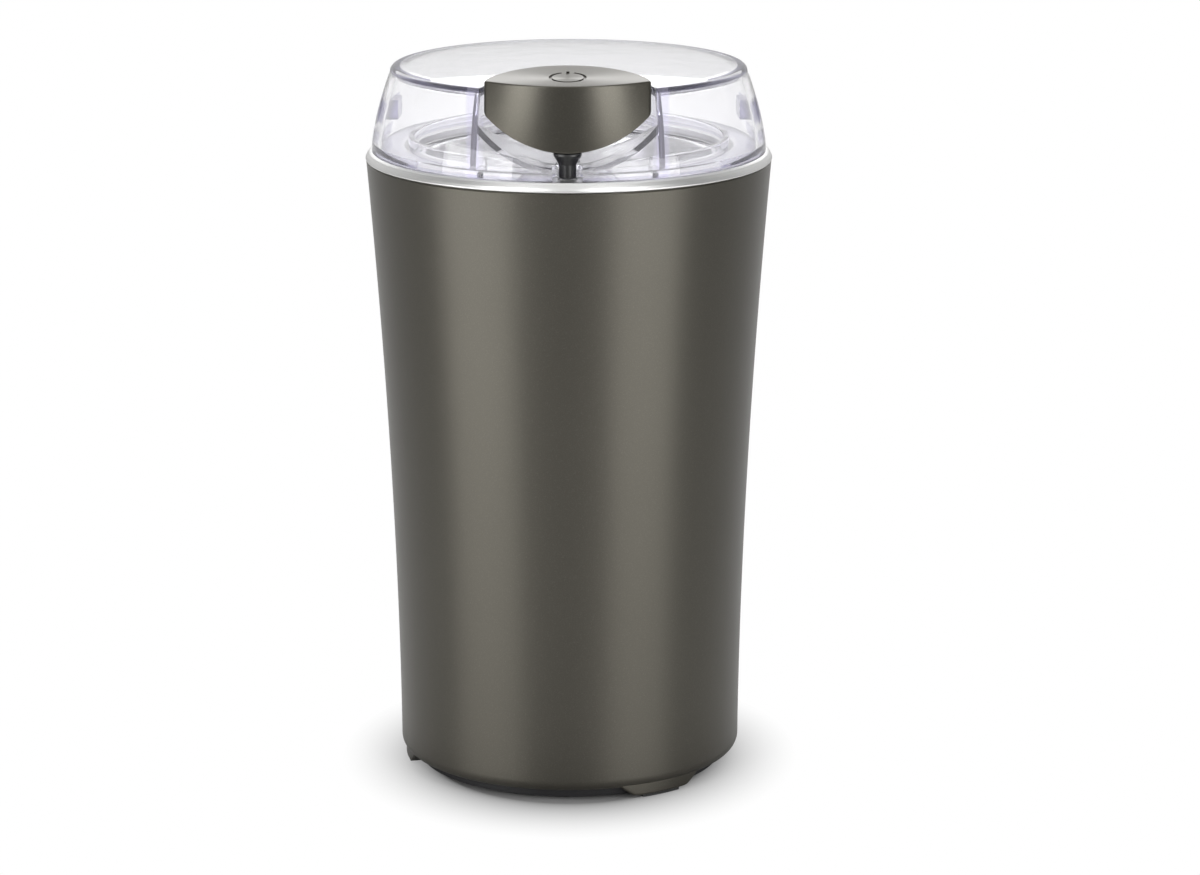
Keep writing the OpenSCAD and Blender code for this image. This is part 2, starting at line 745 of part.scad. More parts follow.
module bowl_carrier() color([0.25, 0.25, 0.26]) difference() {
    rotate_extrude() polygon([[seal_neck_r + 2, carrier_floor_z], [carrier_out_r, carrier_floor_z],
        [carrier_out_r, flange_z], [flange_r, flange_z], [flange_r, flange_top_z],
        [carrier_out_r, flange_top_z], [carrier_out_r, gasket_z - seat_h],
        [bowl_rim_r, gasket_z - seat_h + 1], [bowl_rim_r, gasket_z], [carrier_in_r, gasket_z],
        [carrier_in_r, carrier_floor_z + carrier_t], [seal_neck_r + 2, carrier_floor_z + carrier_t]]);
    at_circle(mount_circle_r, mount_angles) translate([0, 0, carrier_floor_z - 1])
        cylinder(r = mount_screw_r + play, h = carrier_t + 2);
    translate([0, -rod_offset, flange_z - 1]) cylinder(r = rod_r + play, h = carrier_t + 2);
    translate([0, -rod_offset, flange_top_z]) cylinder(r = rod_notch_r, h = rim_z - flange_top_z);
    translate([0, tab_screw_y, carrier_floor_z - 1])
        cylinder(r = small_screw_r + play, h = carrier_t + 2);
}

module shaft_seal() color([0.15, 0.15, 0.15]) difference() {
    union() {
        translate([0, 0, bowl_floor_z]) cylinder(r = seal_r, h = seal_flange_t);
        translate([0, 0, bowl_floor_z - seal_neck_len])
            cylinder(r = seal_neck_r, h = seal_neck_len + mite);
    }
    translate([0, 0, bowl_floor_z - seal_neck_len - 1])
        cylinder(r = shaft_r + gap, h = seal_neck_len + seal_flange_t + 2);
}

// ---------- blade, on the rotor ----------

module blade_collar() color([0.7, 0.7, 0.7])
    ring_solid(collar_r, shaft_r + play, collar_z, collar_h);

// side view of the whole blade: a flat middle with both tips bent up
module blade_side() {
    run = blade_tip * [cos(blade_bend), sin(blade_bend)];
    up = blade_t * [-sin(blade_bend), cos(blade_bend)];
    half = [[blade_flat, 0], [blade_flat, 0] + run, [blade_flat, 0] + run + up,
        [blade_flat - blade_t * tan(blade_bend / 2), blade_t]];
    polygon(concat(half, [for (i = [3:-1:0]) [-half[i][0], half[i][1]]]));
}

// plan of one wing: its leading edge is swept back towards the tip
module wing_plan() polygon([[-1, -blade_w / 2], [blade_flat, -blade_w / 2],
    [blade_flat + blade_tip * 0.68, -blade_w * 0.34], [blade_flat + blade_tip * 1.1, 0],
    [blade_flat + blade_tip * 0.84, blade_w * 0.47], [-1, blade_w * 0.47]]);

module blade() color([0.82, 0.82, 0.83]) translate([0, 0, blade_z]) difference() {
    union() {
        cylinder(r = blade_w * 0.72, h = blade_t);
        intersection() {
            rotate([90, 0, 0]) linear_extrude(2 * blade_w, center = true) blade_side();
            translate([0, 0, -1]) linear_extrude(blade_tip + 2)
                for (a = [0, 180]) rotate(a) wing_plan();
        }
    }
    translate([0, 0, -1]) cylinder(r = shaft_r + play, h = blade_t + 2);
}

module blade_nut() color([0.75, 0.75, 0.76]) difference() {
    union() {
        translate([0, 0, nut_z]) cylinder(d = nut_corner_w, h = nut_h, $fn = 6);
        translate([0, 0, nut_z + nut_h - mite]) cylinder(r1 = nut_cap_r, r2 = nut_cap_r * 0.6, h = nut_cap_h);
    }
    translate([0, 0, nut_z - 1]) cylinder(r = shaft_r + play, h = nut_h + 1 + play);
}

module motor_shaft() color([0.6, 0.6, 0.62])
    translate([0, 0, shaft_z]) cylinder(r = shaft_r, h = shaft_top_z - shaft_z);

module armature_core() color([0.45, 0.45, 0.47]) difference() {
    translate([0, 0, stack_z]) cylinder(r = armature_r, h = stack_h);
    translate([0, 0, stack_z - 1]) cylinder(r = shaft_r + play, h = stack_h + 2);
    for (i = [0:slot_count - 1]) rotate([0, 0, i * 360 / slot_count]) translate([armature_r, 0, stack_z - 1])
        cylinder(r = 1.5, h = stack_h + 2);
}

module armature_windings() color([0.65, 0.35, 0.15]) {
    for (z = [stack_z - winding_h, stack_top_z]) difference() {
        union() {
            translate([0, 0, z + 1]) cylinder(r = winding_r, h = winding_h - 2);
            translate([0, 0, z]) cylinder(r = winding_r - 1, h = winding_h);
        }
        translate([0, 0, z - 1]) cylinder(r = shaft_r + play, h = winding_h + 2);
    }
}

module commutator() color([0.75, 0.45, 0.25]) difference() {
    translate([0, 0, commutator_z]) cylinder(r = commutator_r, h = commutator_h);
    translate([0, 0, commutator_z - 1]) cylinder(r = shaft_r + play, h = commutator_h + 2);
    for (i = [0:2 * slot_count - 1]) rotate([0, 0, i * 180 / slot_count])
        translate([commutator_r - 0.5, -0.2, commutator_z - 1]) cube([1, 0.4, commutator_h + 2]);
}

module cooling_fan() color([0.85, 0.85, 0.8]) difference() {
    union() {
        translate([0, 0, fan_z]) cylinder(r = fan_r, h = 1.5);
        translate([0, 0, fan_z]) cylinder(r = shaft_r + 3, h = fan_h);
        for (i = [0:fan_blades - 1]) rotate([0, 0, i * 360 / fan_blades])
            translate([shaft_r + 2, -0.7, fan_z + 1]) cube([fan_r - shaft_r - 2.4, 1.4, fan_h - 1]);
    }
    translate([0, 0, fan_z - 1]) cylinder(r = shaft_r + play, h = fan_h + 2);
}

// ---------- motor frame ----------

module bearing(z) ring_solid(bearing_r, shaft_r + play, z, bearing_h);
module upper_bearing() color([0.7, 0.6, 0.4]) bearing(upper_bracket_z);
module lower_bearing() color([0.7, 0.6, 0.4]) bearing(lower_bearing_z);

module stator_core() color([0.5, 0.5, 0.52]) translate([0, 0, stack_z]) linear_extrude(stack_h)
    difference() {
        intersection() {
            square([stator_x, stator_y], center = true);
            circle(r = stator_corner_r);
        }
        difference() {
            square([window_x, window_y], center = true);
            square([window_x + 1, pole_w], center = true);
        }
        circle(r = armature_r + air_gap);
        for (s = [-1, 1]) translate([0, s * bolt_offset]) circle(r = bolt_r + play, $fn = 48);
    }

module field_coils() color([0.7, 0.38, 0.16]) {
    in_y = pole_w + 2 * coil_gap;
    in_z = stack_h + 2 * coil_gap;
    out_y = in_y + 2 * coil_side;
    out_z = in_z + 2 * coil_over;
    for (s = [0, 180]) rotate([0, 0, s]) translate([coil_x, 0, stack_z + stack_h / 2])
        difference() {
            translate([0, -out_y / 2, -out_z / 2]) cube([coil_t, out_y, out_z]);
            translate([-1, -in_y / 2, -in_z / 2]) cube([coil_t + 2, in_y, in_z]);
        }
}

module upper_bracket() color([0.55, 0.55, 0.55]) difference() {
    union() {
        translate([0, 0, upper_bracket_z]) cylinder(r = bracket_r, h = bracket_t);
        translate([0, 0, upper_bracket_z]) cylinder(r = bearing_r + cup_wall, h = bearing_h);
        for (s = [-1, 1]) translate([0, s * bolt_offset, stack_top_z])
            cylinder(r = tube_r, h = upper_bracket_z - stack_top_z + mite);
    }
    translate([0, 0, upper_bracket_z - 1]) cylinder(r = bearing_r + play, h = bearing_h + 2);
    bolt_holes(stack_top_z - 1, upper_bracket_z + bracket_t - 0.8);
    at_circle(mount_circle_r, mount_angles) translate([0, 0, upper_bracket_z - 1])
        cylinder(r = mount_screw_r + play, h = bracket_t + 2);
    at_circle(bolt_offset - 5.5, vent_angles) translate([0, 0, upper_bracket_z - 1])
        cylinder(r = air_hole_r, h = bracket_t + 2);
    translate([-stem_half_w - 1, -2 * bracket_r + bracket_notch_y, upper_bracket_z - 1])
        cube([2 * stem_half_w + 2, bracket_r, bracket_t + 2]);
}

module bolt_holes(low, high) {
    for (s = [-1, 1]) translate([0, s * bolt_offset, low]) cylinder(r = bolt_r + play, h = high - low);
}

module lower_bracket() color([0.55, 0.55, 0.55]) difference() {
    union() {
        translate([0, 0, lower_bracket_z]) cylinder(r = lower_bracket_r, h = bracket_t);
        translate([0, 0, lower_bearing_z - cup_floor])
            cylinder(r = bearing_r + cup_wall, h = bearing_h + cup_floor);
        for (s = [-1, 1]) translate([0, s * bolt_offset, lower_bracket_top_z - mite])
            cylinder(r = tube_r, h = stack_z - lower_bracket_top_z + mite);
        for (s = [0, 180]) rotate([0, 0, s])
            translate([holder_x + holder_in, -brush_w / 2, lower_bracket_top_z - mite])
            cube([holder_len - 3 * holder_in, brush_w,
                brush_z - brush_h / 2 - holder_wall - lower_bracket_top_z + mite]);
    }
    translate([0, 0, lower_bearing_z]) cylinder(r = bearing_r + play, h = bearing_h + 1);
    bolt_holes(lower_bracket_z - 1, stack_z + 1);
}

module motor_bolts() color([0.65, 0.65, 0.65])
    for (s = [-1, 1]) translate([0, s * bolt_offset, lower_bracket_z - bolt_head_h])
        screw_up(bolt_head_r, bolt_head_h, bolt_r,
            upper_bracket_z + bracket_t - 1 - lower_bracket_z);

module rubber_mounts() color([0.12, 0.12, 0.12]) at_circle(mount_circle_r, mount_angles)
    ring_solid(mount_r, mount_screw_r + play, mount_z, mount_h);

module mount_screws() color([0.65, 0.65, 0.65]) at_circle(mount_circle_r, mount_angles)
    translate([0, 0, carrier_floor_z + carrier_t + mount_head_h]) rotate([180, 0, 0])
        screw_up(mount_head_r, mount_head_h, mount_screw_r, carrier_t + mount_h + bracket_t - 0.5);

// ---------- brushes ----------

module brush_pair() for (s = [0, 180]) rotate([0, 0, s]) translate([0, 0, brush_z]) children();

module brush_holders() color([0.8, 0.65, 0.3]) brush_pair() difference() {
    w = brush_w + 2 * holder_wall;
    h = brush_h + 2 * holder_wall;
    translate([holder_x, -w / 2, -h / 2]) cube([holder_len, w, h]);
    translate([holder_x - 1, -brush_w / 2 - play, -brush_h / 2 - play])
        cube([holder_len + 1 - cap_t, brush_w + 2 * play, brush_h + 2 * play]);
}

module carbon_brushes() color([0.15, 0.15, 0.16]) brush_pair()
    translate([brush_x, -brush_w / 2, -brush_h / 2]) cube([brush_len, brush_w, brush_h]);

module brush_springs() color([0.7, 0.7, 0.7]) brush_pair() rotate([0, 90, 0])
    coil_spring(brush_spring_r, brush_spring_low, brush_spring_high, brush_spring_turns);

// ---------- switch ----------

module switch_holes(r) {
    for (s = [-1, 1]) y_rod(r, s * hole_spread / 2, switch_mid_y,
        switch_z + hole_low + (s > 0 ? hole_rise : 0), 4 * switch_t);
}

module switch_body() color([0.1, 0.1, 0.1]) difference() {
    union() {
        translate([-switch_l / 2, -switch_back - switch_t, switch_z]) cube([switch_l, switch_t, switch_h]);
        for (s = [-1, 1]) translate([pivot_x - 1.5, switch_mid_y - ear_t / 2 + s * (lever_w / 2 + gap + ear_t / 2),
            switch_top_z - mite]) cube([3, ear_t, pivot_z - switch_top_z + 1.2]);
        y_rod(pivot_r, pivot_x, switch_mid_y, pivot_z, lever_w + 2 * gap + ear_t);
    }
    switch_holes(small_screw_r + play);
    translate([pin_x, switch_mid_y, switch_top_z - 4]) cylinder(r = switch_pin_r + play, h = 5, $fn = 48);
}

module switch_pin() color([0.85, 0.3, 0.2]) translate([pin_x, switch_mid_y, switch_top_z - 2.3])
    cylinder(r = switch_pin_r, h = pin_top_z - switch_top_z + 2.3, $fn = 48);

module switch_lever() color([0.75, 0.75, 0.75]) difference() {
    translate([pivot_x, switch_mid_y, pivot_z]) rotate([0, -lever_rest, 0]) {
        y_rod(pivot_r + curl_wall, 0, 0, 0, lever_w);
        translate([0, -lever_w / 2, -lever_t / 2]) cube([(lever_reach + lever_over) / cos(lever_rest), lever_w, lever_t]);
    }
    y_rod(pivot_r + play, pivot_x, switch_mid_y, pivot_z, lever_w + 2);
}

module switch_bracket() color([0.6, 0.6, 0.6]) difference() {
    back = -switch_back + bracket_gap;
    union() {
        translate([-bracket_half_w, back, switch_z - 1])
            cube([2 * bracket_half_w, bracket_plate_t, mount_z - 5 - switch_z]);
        translate([-stem_half_w, back, mount_z - 7])
            cube([2 * stem_half_w, bracket_plate_t, carrier_floor_z - mount_z + 7]);
        translate([-stem_half_w, back, carrier_floor_z - bracket_plate_t])
            cube([2 * stem_half_w, tab_len, bracket_plate_t]);
    }
    switch_holes(small_screw_r + play);
    translate([0, tab_screw_y, carrier_floor_z - 5]) cylinder(r = small_screw_r + play, h = 8);
}

module switch_screws() color([0.65, 0.65, 0.65]) for (s = [-1, 1])
    translate([s * hole_spread / 2, -switch_back - switch_t - small_head_h,
        switch_z + hole_low + (s > 0 ? hole_rise : 0)]) rotate([-90, 0, 0])
        screw_up(small_head_r, small_head_h, small_screw_r, switch_t + bracket_plate_t + bracket_gap);

module bracket_screw() color([0.65, 0.65, 0.65])
    translate([0, tab_screw_y, carrier_floor_z - bracket_plate_t - small_head_h])
        screw_up(small_head_r, small_head_h, small_screw_r, bracket_plate_t + carrier_t);

module switch_rod() color([0.9, 0.9, 0.88]) {
    foot_y = switch_mid_y;
    run = [foot_x, foot_y + rod_offset];
    translate([0, -plunger_offset, rod_head_z]) cylinder(r = plunger_tip_r, h = rod_top_z - rod_head_z);
    translate([0, -rod_offset, arm_z]) cylinder(r = rod_r, h = rod_head_z + 1.5 - arm_z);
    translate([0, -rod_offset, arm_z]) rotate([0, 0, atan2(run[1], run[0])])
        translate([0, -arm_w / 2, 0]) cube([norm(run) + 1.2, arm_w, arm_h]);
    translate([foot_x, foot_y, foot_z + foot_nose_r]) {
        y_rod(foot_nose_r, 0, 0, 0, lever_w - 1);
        translate([-foot_nose_r, -(lever_w - 1) / 2, 0]) cube([2 * foot_nose_r, lever_w - 1, 1.5]);
    }
}

module rod_spring() color([0.7, 0.7, 0.7]) translate([0, -rod_offset, 0])
    coil_spring(rod_spring_r, rod_spring_low, rod_spring_high, rod_spring_turns);

// ---------- lid ----------

// the lid's outline as a half section, drawn in by inset
module lid_half(inset) {
    side = lid_side_h - lid_round;
    r_top = lid_side_r(lid_z + side);
    round_c = [r_top - lid_round, lid_z + side];
    crown_r = (pow(round_c[0], 2) + pow(lid_crown, 2)) / (2 * lid_crown);
    top = concat(
        [for (i = [0:lid_steps]) let (z = lid_z + i * side / lid_steps) [lid_side_r(z), z]],
        [for (a = [15:15:90]) round_c + lid_round * [cos(a), sin(a)]],
        [for (i = [1:8]) let (r = round_c[0] * (1 - i / 8))
            [r, lid_rim_z + lid_crown - crown_r + sqrt(pow(crown_r, 2) - pow(r, 2))]]);
    polygon(concat([for (p = top) [max(p[0] - inset, 0), min(p[1], lid_z + lid_side_h + lid_crown)
        - (p[0] < r_top ? inset : 0)]], [[0, lid_z]]));
}

module lid_solid(inset) rotate_extrude() lid_half(inset);

// plan of the button and, grown, of its pocket
module button_plan(grow, half_w) linear_extrude(big) intersection() {
    translate([0, -button_centre]) circle(r = button_rear_r + grow);
    translate([-half_w, -button_centre - big / 4]) square([2 * half_w, big / 2]);
}

module pocket_curve(grow) {
    y_rod(pocket_curve_r + grow, 0, -button_centre, pocket_low_z + pocket_curve_r, big);
    translate([-big / 2, -big, pocket_low_z + pocket_curve_r * 0.98]) cube([big, 2 * big, big]);
}

module pocket_space() intersection() {
    button_plan(pocket_gap, pocket_in_half_w);
    pocket_curve(0);
}

module pocket_block() intersection() {
    lid_solid(0);
    difference() {
        translate([0, 0, pocket_box_z]) button_plan(pocket_gap + pocket_wall, pocket_half_w);
        difference() {
            button_plan(pocket_gap, pocket_half_w - pocket_wall);
            pocket_curve(pocket_wall);
            translate([0, -plunger_offset, 0]) cylinder(r = guide_r + 0.9 * pocket_wall, h = big);
            lid_front_wall();
        }
    }
}

module lid_front_wall() difference() {
    lid_solid(0);
    lid_solid(lid_t);
}

module lid_lugs() intersection() {
    lid_solid(lid_t / 2);
    for (a = [0, 180]) rotate([0, 0, a]) {
        translate([lid_side_r(lug_low_z) - lid_t - lug_depth, -lug_w / 2, lug_low_z])
            cube([lid_r, lug_w, lug_h]);
        for (i = [0, 1])
            translate([lid_r - lid_t - rib_depth, -lug_w * 0.6, rib_low_z + i * rib_ring_h / 2])
                cube([lid_r, lug_w * 1.2, rib_ring_h / 4]);
    }
}

module lid_cover() color([0.86, 0.85, 0.9, 0.45]) difference() {
    union() {
        difference() {
            lid_solid(0);
            difference() {
                lid_solid(lid_t);
                translate([0, 0, lid_z - 1]) cylinder(r = big, h = 1 + mite);
            }
            translate([0, 0, lid_z - 1]) cylinder(r = lid_skirt_out_r, h = 5);
        }
        ring_solid(lid_r - lid_t + 0.5, lid_skirt_out_r - 0.5, lid_z, lid_shoulder_t);
        ring_solid(lid_skirt_out_r, lid_skirt_out_r - lid_skirt_t, lid_skirt_z, lid_skirt_top_z - lid_skirt_z);
        pocket_block();
        lid_lugs();
        intersection() {
            lid_solid(0);
            translate([0, -button_spring_offset, pocket_low_z - pocket_wall / 2])
                cylinder(r = peg_r, h = pocket_wall / 2 + peg_h);
        }
    }
    difference() {
        pocket_space();
        translate([0, -button_spring_offset, 0]) cylinder(r = peg_r, h = pocket_low_z + peg_h);
    }
    translate([0, -plunger_offset, lid_z - 5]) cylinder(r = guide_r, h = 10);
    translate([-guide_r, -lid_r - 1, lid_z - 5])
        cube([2 * guide_r, lid_r + 1 - plunger_offset, pocket_low_z + peg_h - lid_z + 5]);
}

// ---------- button ----------

module button_form(inset) intersection() {
    lid_solid_tall(button_inset + inset);
    button_plan(-inset, button_half_w - inset);
    union() {
        y_rod(button_curve_r, 0, -button_centre, button_low_z + button_curve_r, big);
        translate([-big / 2, -big, button_low_z + button_curve_r * 0.9]) cube([big, 2 * big, big]);
        if (inset > 0) translate([-big / 2, -big, 0]) cube([big, 2 * big, button_low_z + 15]);
    }
    translate([0, -lid_side_r(button_front_z) + button_inset, button_front_z - inset])
        rotate([button_tilt, 0, 0]) translate([-big / 2, -big / 2, -big]) cube([big, big, big]);
}

// the lid's side carried straight on upwards, for the button's front
module lid_solid_tall(inset) {
    n = lid_steps + 2;
    dz = lid_side_h / lid_steps;
    rotate_extrude() polygon(concat([[0, lid_z - 10], [lid_r - inset, lid_z - 10]],
        [for (i = [0:n]) let (z = lid_z + i * dz)
            [lid_r - lid_taper * pow((z - lid_z) / lid_side_h, lid_power) - inset, z]],
        [[0, lid_z + n * dz]]));
}

module power_symbol() {
    linear_extrude(2 * travel) {
        difference() {
            circle(r = symbol_r);
            circle(r = symbol_r - symbol_w);
            translate([-symbol_w * 2.2, 0]) square([symbol_w * 4.4, symbol_r * 2]);
        }
        translate([-symbol_w / 2, symbol_r * 0.1]) square([symbol_w, symbol_r * 1.05]);
    }
}

module power_button() color([0.35, 0.34, 0.32]) difference() {
    union() {
        difference() {
            button_form(0);
            button_form(button_wall);
        }
        intersection() {
            button_form(0);
            union() {
                translate([0, -plunger_offset, button_low_z]) cylinder(r = plunger_boss_r, h = 30);
                translate([0, -button_spring_offset, spring_seat_z]) cylinder(r = spring_boss_r, h = 30);
                translate([0, -button_spring_offset, spring_seat_z - 3]) cylinder(r = peg_r, h = 10);
                translate([-0.75, -plunger_offset, spring_seat_z + 1])
                    cube([1.5, plunger_offset - button_spring_offset, 30]);
            }
        }
    }
    translate([0, -plunger_offset, button_low_z - 1])
        cylinder(r = plunger_stem_r + play, h = plunger_stem_h + 1);
    translate([0, symbol_y, button_top_z(symbol_y)]) rotate([button_tilt, 0, 0])
        translate([0, 0, -symbol_depth]) power_symbol();
}

module button_plunger() color([0.05, 0.05, 0.05]) translate([0, -plunger_offset, 0]) {
    translate([0, 0, plunger_low_z]) cylinder(r = plunger_tip_r, h = plunger_cone_z - plunger_low_z + mite);
    translate([0, 0, plunger_cone_z]) cylinder(r1 = plunger_tip_r, r2 = plunger_r, h = plunger_cone_h);
    translate([0, 0, plunger_cone_z + plunger_cone_h - mite])
        cylinder(r = plunger_r, h = plunger_top_z - plunger_cone_z - plunger_cone_h + mite);
    translate([0, 0, plunger_top_z - mite]) cylinder(r = plunger_stem_r, h = plunger_stem_h);
}

module button_spring() color([0.75, 0.75, 0.75]) translate([0, -button_spring_offset, 0])
    coil_spring(button_spring_r, spring_low_z, spring_high_z, button_spring_turns);

echo("button spring least gap", coil_gap_of(button_spring_r, spring_low_z, spring_high_z, button_spring_turns));
echo("rod spring least gap", coil_gap_of(rod_spring_r, rod_spring_low, rod_spring_high, rod_spring_turns));
echo("brush spring least gap",
    coil_gap_of(brush_spring_r, brush_spring_low, brush_spring_high, brush_spring_turns));

outer_shell();
foot_pads();
base_plate();
base_screws();
cord_gland();
capacitor();
top_ring();
bowl();
rim_gasket();
bowl_carrier();
shaft_seal();
blade_collar();
blade();
blade_nut();
motor_shaft();
armature_core();
armature_windings();
commutator();
cooling_fan();
upper_bearing();
lower_bearing();
stator_core();
field_coils();
upper_bracket();
lower_bracket();
motor_bolts();
rubber_mounts();
mount_screws();
brush_holders();
carbon_brushes();
brush_springs();
switch_body();
switch_pin();
switch_lever();
switch_bracket();
switch_screws();
bracket_screw();
switch_rod();
rod_spring();
lid_cover();
power_button();
button_plunger();
button_spring();
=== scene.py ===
import json
import math

import bmesh
import bpy
from mathutils import Matrix, Vector


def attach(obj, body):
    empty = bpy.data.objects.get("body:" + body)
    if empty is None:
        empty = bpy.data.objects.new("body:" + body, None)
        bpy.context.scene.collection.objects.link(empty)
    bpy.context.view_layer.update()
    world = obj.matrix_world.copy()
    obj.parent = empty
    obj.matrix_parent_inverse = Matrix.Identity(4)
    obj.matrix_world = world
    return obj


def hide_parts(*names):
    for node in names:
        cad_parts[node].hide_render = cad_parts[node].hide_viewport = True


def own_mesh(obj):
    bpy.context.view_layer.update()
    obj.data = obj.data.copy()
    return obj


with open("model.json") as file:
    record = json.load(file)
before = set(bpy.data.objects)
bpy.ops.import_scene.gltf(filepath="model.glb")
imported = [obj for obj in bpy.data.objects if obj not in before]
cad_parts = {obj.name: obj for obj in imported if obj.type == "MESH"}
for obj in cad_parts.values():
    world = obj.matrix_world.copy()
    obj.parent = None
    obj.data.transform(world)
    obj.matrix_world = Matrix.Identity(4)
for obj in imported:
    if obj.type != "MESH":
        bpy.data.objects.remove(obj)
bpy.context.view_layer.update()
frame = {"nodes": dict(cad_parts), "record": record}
mm = 0.001
print("frame loaded:", len(frame["nodes"]), "nodes")

class Wire:
    # a socket that can be used in sums
    def __init__(self, tree, socket):
        self.tree = tree
        self.socket = socket

    def maths(self, operation, *values, clamp=False):
        node = self.tree.nodes.new("ShaderNodeMath")
        node.operation = operation
        node.use_clamp = clamp
        for slot, value in zip(node.inputs, values):
            fill(self.tree, slot, value)
        return Wire(self.tree, node.outputs[0])

    def __add__(self, other): return self.maths("ADD", self, other)
    def __radd__(self, other): return self.maths("ADD", other, self)
    def __sub__(self, other): return self.maths("SUBTRACT", self, other)
    def __rsub__(self, other): return self.maths("SUBTRACT", other, self)
    def __mul__(self, other): return self.maths("MULTIPLY", self, other)
    def __rmul__(self, other): return self.maths("MULTIPLY", other, self)
    def __truediv__(self, other): return self.maths("DIVIDE", self, other)
    def __pow__(self, other): return self.maths("POWER", self, other)
    def __lt__(self, other): return self.maths("LESS_THAN", self, other)
    def __gt__(self, other): return self.maths("GREATER_THAN", self, other)
    def clamp(self): return self.maths("ADD", self, 0.0, clamp=True)
    def abs(self): return self.maths("ABSOLUTE", self)
    def root(self): return self.maths("SQRT", self)
    def wave(self): return self.maths("SINE", self)
    def largest(self, other): return self.maths("MAXIMUM", self, other)


def fill(tree, slot, value):
    # a wire is linked, a colour gets its alpha, a plain value is set
    if isinstance(value, Wire):
        tree.links.new(value.socket, slot)
    elif isinstance(value, tuple) and len(slot.default_value) == 4:
        slot.default_value = (*value, 1.0)
    else:
        slot.default_value = value


class Web:
    # a node tree that gives its nodes by their type
    def __init__(self, tree):
        self.tree = tree
        self.tree.nodes.clear()

    def node(self, kind, settings=None, inputs=None, out=0):
        node = self.tree.nodes.new("ShaderNode" + kind)
        for key, value in (settings or {}).items():
            setattr(node, key, value)
        for key, value in (inputs or {}).items():
            fill(self.tree, node.inputs[key], value)
        return Wire(self.tree, node.outputs[out]) if node.outputs else node

    def mixed(self, share, low, high):
        return self.node("MixShader", inputs={0: share, 1: low, 2: high})

    def seen(self):
        # 1 where the camera looks straight at the surface or through something clear
        through = self.node("LightPath", out="Is Transmission Ray")
        return self.node("LightPath", out="Is Camera Ray").largest(through)


class Finish(Web):
    # one material: fixed numbers go straight on the shader, the rest is wired in
    def __init__(self, name, **fixed):
        self.material = bpy.data.materials.new(name)
        self.material.use_nodes = True
        super().__init__(self.material.node_tree)
        self.shader = self.node("BsdfPrincipled")
        self.output = self.node("OutputMaterial", inputs={"Surface": self.shader})
        for key, value in fixed.items():
            self.set(key, value)

    def set(self, key, value):
        fill(self.tree, self.shader.socket.node.inputs[key.replace("_", " ")], value)

    def surface(self, wire):
        fill(self.tree, self.output.inputs["Surface"], wire)

    def place(self):
        return self.node("TexCoord", out="Object")

    def axis(self, name):
        return self.node("SeparateXYZ", inputs={0: self.place()}, out=name)

    def stretched(self, x, y, z):
        return self.node("VectorMath", {"operation": "MULTIPLY"}, {0: self.place(), 1: (x, y, z)})

    def noise(self, scale, detail=2.0, rough=0.5, at=None):
        return self.node("TexNoise", inputs={"Vector": at or self.place(), "Scale": scale,
                                             "Detail": detail, "Roughness": rough})

    def blend(self, share, low, high):
        return self.node("Mix", {"data_type": "RGBA"}, {0: share, 6: low, 7: high}, out=2)

    def bump(self, height, strength, distance):
        relief = {"Height": height, "Strength": strength, "Distance": distance}
        self.set("Normal", self.node("Bump", inputs=relief))


def smoothBelow(bm, sharpAbove):
    for face in bm.faces:
        face.smooth = True
    for edge in bm.edges:
        edge.smooth = len(edge.link_faces) == 2 and edge.calc_face_angle(0) < math.radians(sharpAbove)


def newPiece(name, bm, sharpAbove=30):
    bmesh.ops.recalc_face_normals(bm, faces=bm.faces)
    smoothBelow(bm, sharpAbove)
    mesh = bpy.data.meshes.new(name)
    bm.to_mesh(mesh)
    bm.free()
    piece = bpy.data.objects.new(name, mesh)
    bpy.context.scene.collection.objects.link(piece)
    return piece


def resharpen(piece, sharpAbove=30):
    bm = bmesh.new()
    bm.from_mesh(piece.data)
    bmesh.ops.dissolve_degenerate(bm, dist=1e-7, edges=bm.edges)
    smoothBelow(bm, sharpAbove)
    bm.to_mesh(piece.data)
    bm.free()


def lathePiece(name, loop, steps=192, sharpAbove=30, closed=True):
    # loop holds (r, z) in mm; points on the axis become one vertex
    bm = bmesh.new()
    rings = []
    for r, z in loop:
        if r < 1e-6:
            rings.append([bm.verts.new((0, 0, z * mm))] * steps)
            continue
        rings.append([bm.verts.new((r * mm * math.cos(a), r * mm * math.sin(a), z * mm))
                      for a in (2 * math.pi * i / steps for i in range(steps))])
    pairs = list(zip(rings, rings[1:] + rings[:1])) if closed else list(zip(rings, rings[1:]))
    for low, high in pairs:
        for i in range(steps):
            j = (i + 1) % steps
            corners = []
            for v in (low[i], low[j], high[j], high[i]):
                if v not in corners:
                    corners.append(v)
            if len(corners) > 2 and bm.faces.get(corners) is None:
                bm.faces.new(corners)
    return newPiece(name, bm, sharpAbove)


def arcPoint(centre, radius, degrees):
    a = math.radians(degrees)
    return centre[0] + radius * math.cos(a), centre[1] + radius * math.sin(a)


def joinRings(bm, rings):
    # a skin over rings of equal count, closed at both ends
    for low, high in zip(rings, rings[1:]):
        for k in range(len(low)):
            j = (k + 1) % len(low)
            bm.faces.new((low[k], low[j], high[j], high[k]))
    bm.faces.new(rings[0])
    bm.faces.new(rings[-1])


def rodPiece(name, r, low, high, y=0, steps=64):
    # a plain rod along Z, mostly to cut or fuse with
    rod = lathePiece(name, [(0, low), (r, low), (r, high), (0, high)], steps)
    rod.data.transform(Matrix.Translation((0, y * mm, 0)))
    return rod


